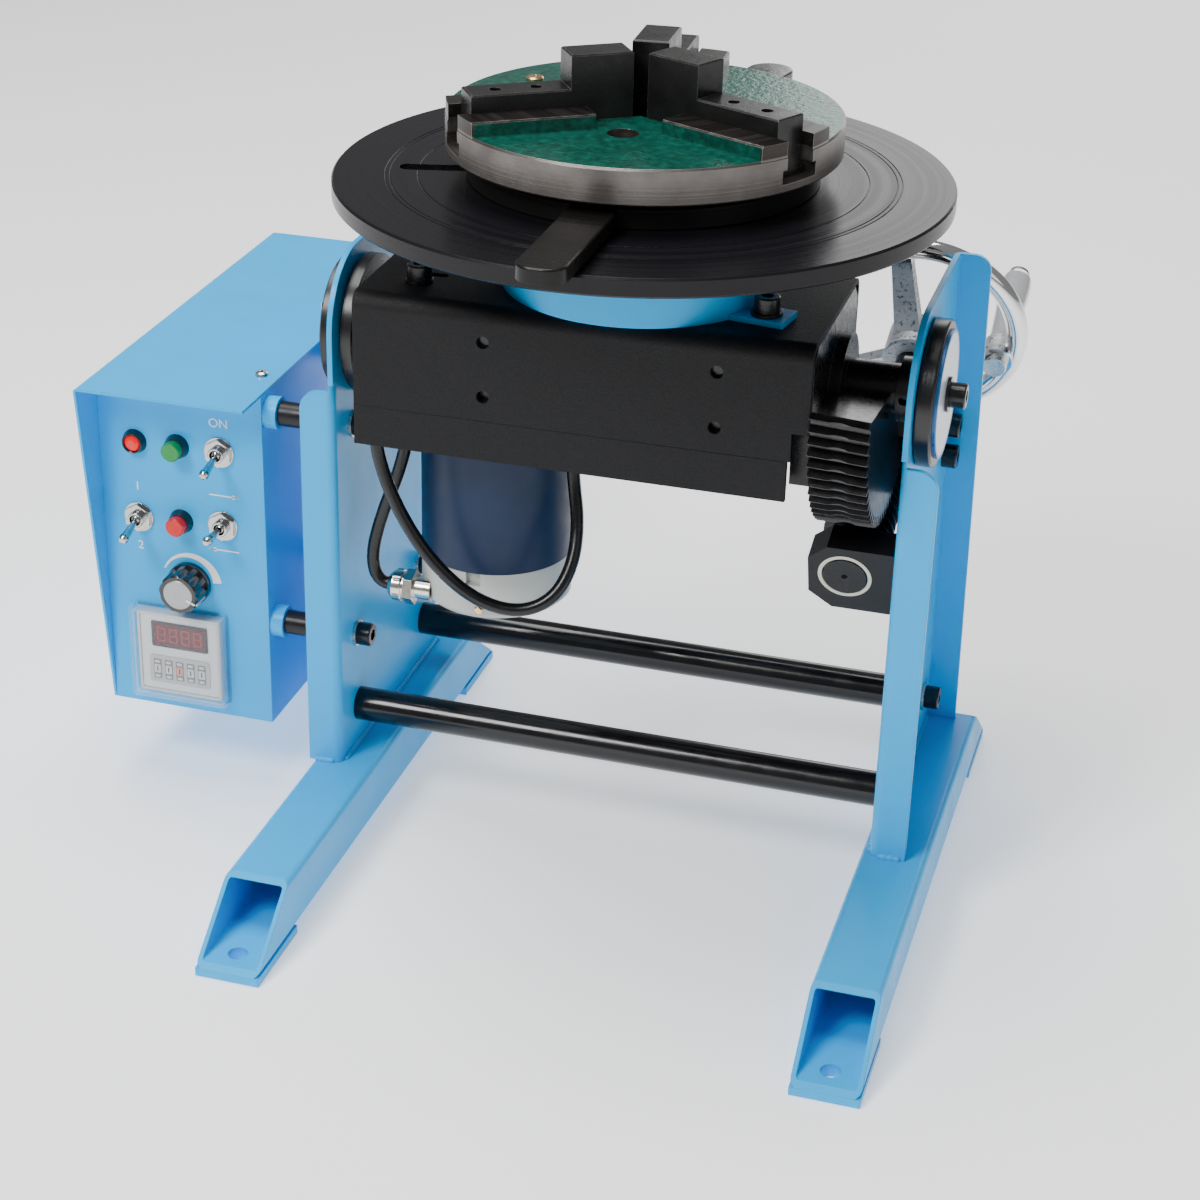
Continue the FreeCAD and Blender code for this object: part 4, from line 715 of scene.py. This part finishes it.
# ------------------------------------------------------------- speed knob
def knob_detail():
    px, pz = -244.4, 127.3
    c = Build()
    c.lathe([(0.01, -17.7), (8.3, -17.7), (8.7, -17.4), (8.7, -17.2), (0.01, -17.2)],
            (px, PY, pz), (0, 1, 0), seg=64)
    c.obj("knob_cap", M["dialface"], "speed_knob", slot="dial_face")
    d = Build()
    a = math.radians(-26)
    ca, sa = math.cos(a), math.sin(a)
    w = 0.55

    def bar(r0, r1, ya, yb):
        pts = [(r0 * ca - w * sa, r0 * sa + w * ca), (r1 * ca - w * sa, r1 * sa + w * ca),
               (r1 * ca + w * sa, r1 * sa - w * ca), (r0 * ca + w * sa, r0 * sa - w * ca)]
        vs = [(px + x, PY + ya, pz + z) for x, z in pts]
        vs += [(px + x, PY + yb, pz + z) for x, z in pts]
        d.add(vs, [(0, 1, 2, 3), (7, 6, 5, 4), (0, 4, 5, 1), (1, 5, 6, 2),
                   (2, 6, 7, 3), (3, 7, 4, 0)])
    bar(5.6, 8.5, -17.75, -17.5)
    bar(8.9, 11.0, -17.5, -17.0)
    bar(11.4, 12.25, -16.2, -5.0)
    d.obj("knob_pointer", M["whitemark"], "speed_knob", slot="timer_grey")


M["dialface"] = turned("knob_cap_satin", (0.36, 0.365, 0.37), 0.34,
                       P(-244.4, 0, 127.3), metal=0.8, ring_scale=3000.0, bstr=0.10,
                       axis="Y", var=0.08)
knob_detail()


# ---------------------------------------------------------- timer's details
def timer_detail():
    tx, tz = -251.2, 82.2
    y = PY - 4.8
    b = Build()
    b.box(tx - 23.2, tx + 23.2, y - 0.3, y + 0.1, tz - 23.2, tz + 23.2, 1.0)
    b.obj("timer_face", M["timerface"], "frame", slot="timer_grey")
    w = Build()
    wx0, wx1, wz0, wz1 = -266.5, -234.5, 87.5, 101.0
    w.box(wx0 - 1.2, wx1 + 1.2, y - 0.8, y - 0.25, wz0 - 1.2, wz1 + 1.2, 0.6)
    w.obj("timer_window_frame", M["blackplastic"], "frame", slot="black_plastic")
    g = Build()
    g.box(wx0, wx1, y - 1.0, y - 0.75, wz0, wz1, 0.3)
    g.obj("timer_window", M["redwin"], "frame", slot="red_plastic")
    s = Build()
    for i in range(4):
        cx = wx0 + 5.0 + i * 7.35
        cz = (wz0 + wz1) / 2
        h, ww, t = 4.1, 2.2, 0.42
        segs = [(cx - ww, cx + ww, cz + h - t, cz + h + t),
                (cx - ww, cx + ww, cz - t, cz + t),
                (cx - ww, cx + ww, cz - h - t, cz - h + t),
                (cx - ww - t, cx - ww + t, cz + .5, cz + h - .5),
                (cx + ww - t, cx + ww + t, cz + .5, cz + h - .5),
                (cx - ww - t, cx - ww + t, cz - h + .5, cz - .5),
                (cx + ww - t, cx + ww + t, cz - h + .5, cz - .5)]
        for x0, x1, z0, z1 in segs:
            s.box(x0, x1, y - 1.1, y - 0.95, z0, z1)
    s.obj("timer_segments", M["redseg"], "frame", slot="red_plastic")
    k = Build()
    bz0, bz1 = 63.5, 80.5
    k.box(tx - 18.5, tx + 18.5, y - 0.9, y - 0.25, bz0, bz1, 1.2)
    k.obj("thumbwheel_block", M["timerblock"], "frame", slot="timer_grey")
    for i in range(5):
        cx = tx - 13.6 + i * 6.8
        d = Build()
        d.box(cx - 2.4, cx + 2.4, y - 1.05, y - 0.85, 66.0, 78.2, 0.4)
        d.obj("thumbwheel_slot_%d" % i, M["darkgrey"], "frame", slot="timer_grey")
        e = Build()
        e.box(cx - 1.9, cx + 1.9, y - 1.3, y - 1.0, 69.6, 74.8, 0.5)
        e.obj("thumbwheel_%d" % i, M["salmon"] if i == 2 else M["wheelwhite"],
              "frame", slot="timer_grey")
        t = Build()
        t.box(cx - 0.35, cx + 0.35, y - 1.38, y - 1.28, 70.6, 73.8, 0.1)
        t.obj("thumbwheel_mark_%d" % i, M["darkmark"], "frame", slot="black_plastic")
        for zc in (67.6, 76.8):
            q = Build()
            q.box(cx - 1.5, cx + 1.5, y - 1.4, y - 1.0, zc - 0.75, zc + 0.75, 0.3)
            q.obj("thumb_key_%d_%d" % (i, int(zc)), M["wheelwhite"], "frame",
                  slot="timer_grey")


M["timerface"] = plain("timer_face", (0.72, 0.73, 0.72), 0.4, 0.0, var=0.02,
                       nscale=80.0, bscale=500.0, bstr=0.05, bev=0)
M["timerblock"] = plain("timer_block", (0.50, 0.50, 0.49), 0.45, 0.0, var=0.03,
                        nscale=80.0, bscale=500.0, bstr=0.05, bev=0)
M["darkgrey"] = plain("timer_dark", (0.20, 0.20, 0.20), 0.45, 0.0, var=0.05,
                      nscale=80.0, bscale=500.0, bstr=0.05, bev=0)
M["wheelwhite"] = plain("wheel_white", (0.66, 0.66, 0.64), 0.4, 0.0, var=0.03,
                        nscale=80.0, bscale=500.0, bstr=0.05, bev=0)
M["salmon"] = plain("wheel_salmon", (0.75, 0.30, 0.22), 0.4, 0.0, var=0.03,
                    nscale=80.0, bscale=500.0, bstr=0.05, bev=0)
M["redwin"] = translucent_plastic("display_window", (0.09, 0.003, 0.003), 0.1)
M["redseg"] = translucent_plastic("display_segment", (0.34, 0.015, 0.010), 0.3)


timer_detail()


# ------------------------------------------------------------- weld beads
def weld(name, pts, r, body, seed, mat="blue"):
    """Rippled bead along a line of points."""
    rnd = random.Random(seed)
    pts = [Vector(p) for p in pts]
    path = []
    step = 0.9
    for a, c in zip(pts, pts[1:]):
        n = max(2, int((c - a).length / step))
        for i in range(n):
            path.append(a.lerp(c, i / n))
    path.append(pts[-1])
    seg = 10
    vs, fs = [], []
    phase = 0.0
    for i, p in enumerate(path):
        t = (path[min(i + 1, len(path) - 1)] - path[max(i - 1, 0)]).normalized()
        e1 = t.cross(Vector((0.31, 0.77, 0.55))).normalized()
        e2 = t.cross(e1).normalized()
        phase += 0.9 + 0.15 * rnd.random()
        rr = r * (1.0 + 0.10 * math.sin(phase * 1.7) + 0.06 * (rnd.random() - 0.5))
        if i in (0, len(path) - 1):
            rr *= 0.35
        for k in range(seg):
            a = 2 * math.pi * k / seg
            q = p + e1 * rr * math.cos(a) + e2 * rr * math.sin(a)
            vs.append(P(*q))
    m = len(path)
    for i in range(m - 1):
        for k in range(seg):
            k2 = (k + 1) % seg
            fs.append((i * seg + k, i * seg + k2, (i + 1) * seg + k2, (i + 1) * seg + k))
    fs.append(tuple(range(seg)))
    fs.append(tuple((m - 1) * seg + k for k in reversed(range(seg))))
    return mesh_obj(name, vs, fs, M[mat], body, smooth=True)


for s, nm in ((-1, "left"), (1, "right")):
    xi, xo, xf = s * 149.0, s * 152.0, s * 168.0
    weld("weld_%s_inner" % nm, [(xi, -20, 37.6), (xi, 136, 37.6)], 2.0, "frame", 3 + s)
    weld("weld_%s_outer" % nm, [(xo, -20, 37.6), (xo, 136, 37.6)], 2.0, "frame", 7 + s)
    xe = -165.0 if s < 0 else 166.0
    weld("weld_%s_front" % nm, [(s * 153.5, -24.4, 37.8), (xe, -24.4, 37.8)], 2.2,
         "frame", 11 + s)
    weld("weld_%s_back" % nm, [(s * 153.5, 140.6, 37.8), (xe, 140.6, 37.8)], 2.2,
         "frame", 17 + s)
for cx, nm in ((162.1, "right"), (-148.5, "left")):
    for sy in (-1, 1):
        yb = sy * (190.5 - 53.0)
        weld("weld_pad_%s_%s" % (nm, "front" if sy < 0 else "back"),
             [(cx - 15, yb, 4.2), (cx + 15, yb, 4.2)], 1.6, "frame", 23 + sy)


# ----------------------------------------------- small marks and hardware
def small_parts():
    # white pointer on the left disc
    b = Build()
    x = -159.0
    pts = [(-13.0, 305.0), (-9.0, 303.6), (-10.4, 299.6), (-12.6, 300.6)]
    vs = [(x - 0.25, yy, zz) for yy, zz in pts] + [(x + 0.1, yy, zz) for yy, zz in pts]
    b.add(vs, [(0, 1, 2, 3), (7, 6, 5, 4), (0, 4, 5, 1), (1, 5, 6, 2), (2, 6, 7, 3),
               (3, 7, 4, 0)])
    b.obj("tilt_pointer", M["whitemark"], "tilt_head", slot="timer_grey")
    # coloured rim of the dial plate
    r = Build()
    prof = [(31.0, 0.06), (32.35, 0.0), (32.5, -0.6), (32.5, -1.7), (31.0, -1.7)]
    seg, n = 96, 5
    vs, fs = [], []
    for i in range(seg):
        a = 2 * math.pi * i / seg
        for rr, hh in prof:
            vs.append((162.8 + hh + 0.05, 18 + rr * math.cos(a), 285 + rr * math.sin(a)))
    for i in range(seg):
        j = (i + 1) % seg
        for k in range(n):
            k2 = (k + 1) % n
            fs.append((i * n + k, j * n + k, j * n + k2, i * n + k2))
    r.add(vs, fs)
    r.obj("dial_rim", M["dialrim"], "tilt_head", slot="dial_face")
    # brass screw in the motor end cap
    c = Build()
    c.lathe([(0.01, 0.9), (1.9, 0.9), (2.6, 0.3), (2.8, -0.4), (0.01, -0.4)],
            (-69.5, 18 - 40.7, 145.5), (0, -1, 0), seg=32)
    c.obj("cap_screw", M["brass"], "tilt_head", smooth=False, slot="brass")
    # tapered bezel round the pilot lamp
    lb = Build()
    prof = [(4.95, -4.1), (5.4, -4.4), (5.8, -4.2), (7.1, -0.1), (4.95, -0.1)]
    seg, n = 64, len(prof)
    vs, fs = [], []
    for i in range(seg):
        a = 2 * math.pi * i / seg
        for rr, hh in prof:
            vs.append((-273.6 + rr * math.cos(a), PY + hh, 209.0 + rr * math.sin(a)))
    for i in range(seg):
        j = (i + 1) % seg
        for q in range(n):
            q2 = (q + 1) % n
            fs.append((i * n + q, j * n + q, j * n + q2, i * n + q2))
    lb.add(vs, fs)
    lb.obj("lamp_bezel", M["blackplastic"], "frame", slot="black_plastic")
    # nuts behind the holes in the head cover's front
    k = Build()
    for xx in (-59.3, 60.0):
        k.box(xx - 6, xx + 6, -43.4, -41.4, 273, 285, 3.0)
        k.box(xx - 6, xx + 6, -44.9, -43.0, 302, 314, 3.0)
    k.obj("cover_nuts", M["bolt"], "tilt_head", slot="black_oxide")


small_parts()


# ------------------------------------------------------------------- stage
def stage():
    me = bpy.data.meshes.new("floor")
    s = 40.0
    me.from_pydata([(-s, -s, -0.0002), (s, -s, -0.0002), (s, s, -0.0002),
                    (-s, s, -0.0002)], [], [(0, 1, 2, 3)])
    fl = bpy.data.objects.new("floor", me)
    bpy.context.scene.collection.objects.link(fl)
    m, nt, bs = new_mat("floor_pale")
    bs.inputs["Base Color"].default_value = (0.95, 0.95, 0.95, 1)
    bs.inputs["Roughness"].default_value = 0.7
    bs.inputs["Specular IOR Level"].default_value = 0.1
    bs.inputs["Emission Color"].default_value = (1, 1, 1, 1)
    bs.inputs["Emission Strength"].default_value = 0.55
    me.materials.append(m)
    w = bpy.data.worlds.new("world")
    bpy.context.scene.world = w
    w.use_nodes = True
    bg = w.node_tree.nodes["Background"]
    bg.inputs[0].default_value = (1, 1, 1, 1)
    bg.inputs[1].default_value = 0.24

    def area(name, pos, target, size, power, size_y=None):
        li = bpy.data.lights.new(name, "AREA")
        li.energy = power
        li.size = size
        if size_y:
            li.shape = "RECTANGLE"
            li.size_y = size_y
        ob = bpy.data.objects.new(name, li)
        bpy.context.scene.collection.objects.link(ob)
        p = Vector(pos)
        ob.location = p
        ob.rotation_euler = (Vector(target) - p).to_track_quat("-Z", "Y").to_euler()
        return ob
    area("key", (-0.9, -1.6, 2.0), (0, 0, 0.2), 0.8, 48)
    area("fill", (1.9, -0.9, 1.2), (0, 0, 0.2), 1.2, 4)
    area("top", (-0.4, 0.1, 2.2), (0, 0, 0.2), 1.2, 44)
    area("back", (0.2, 2.4, 1.0), (0, 0, 0.3), 1.3, 12)


stage()
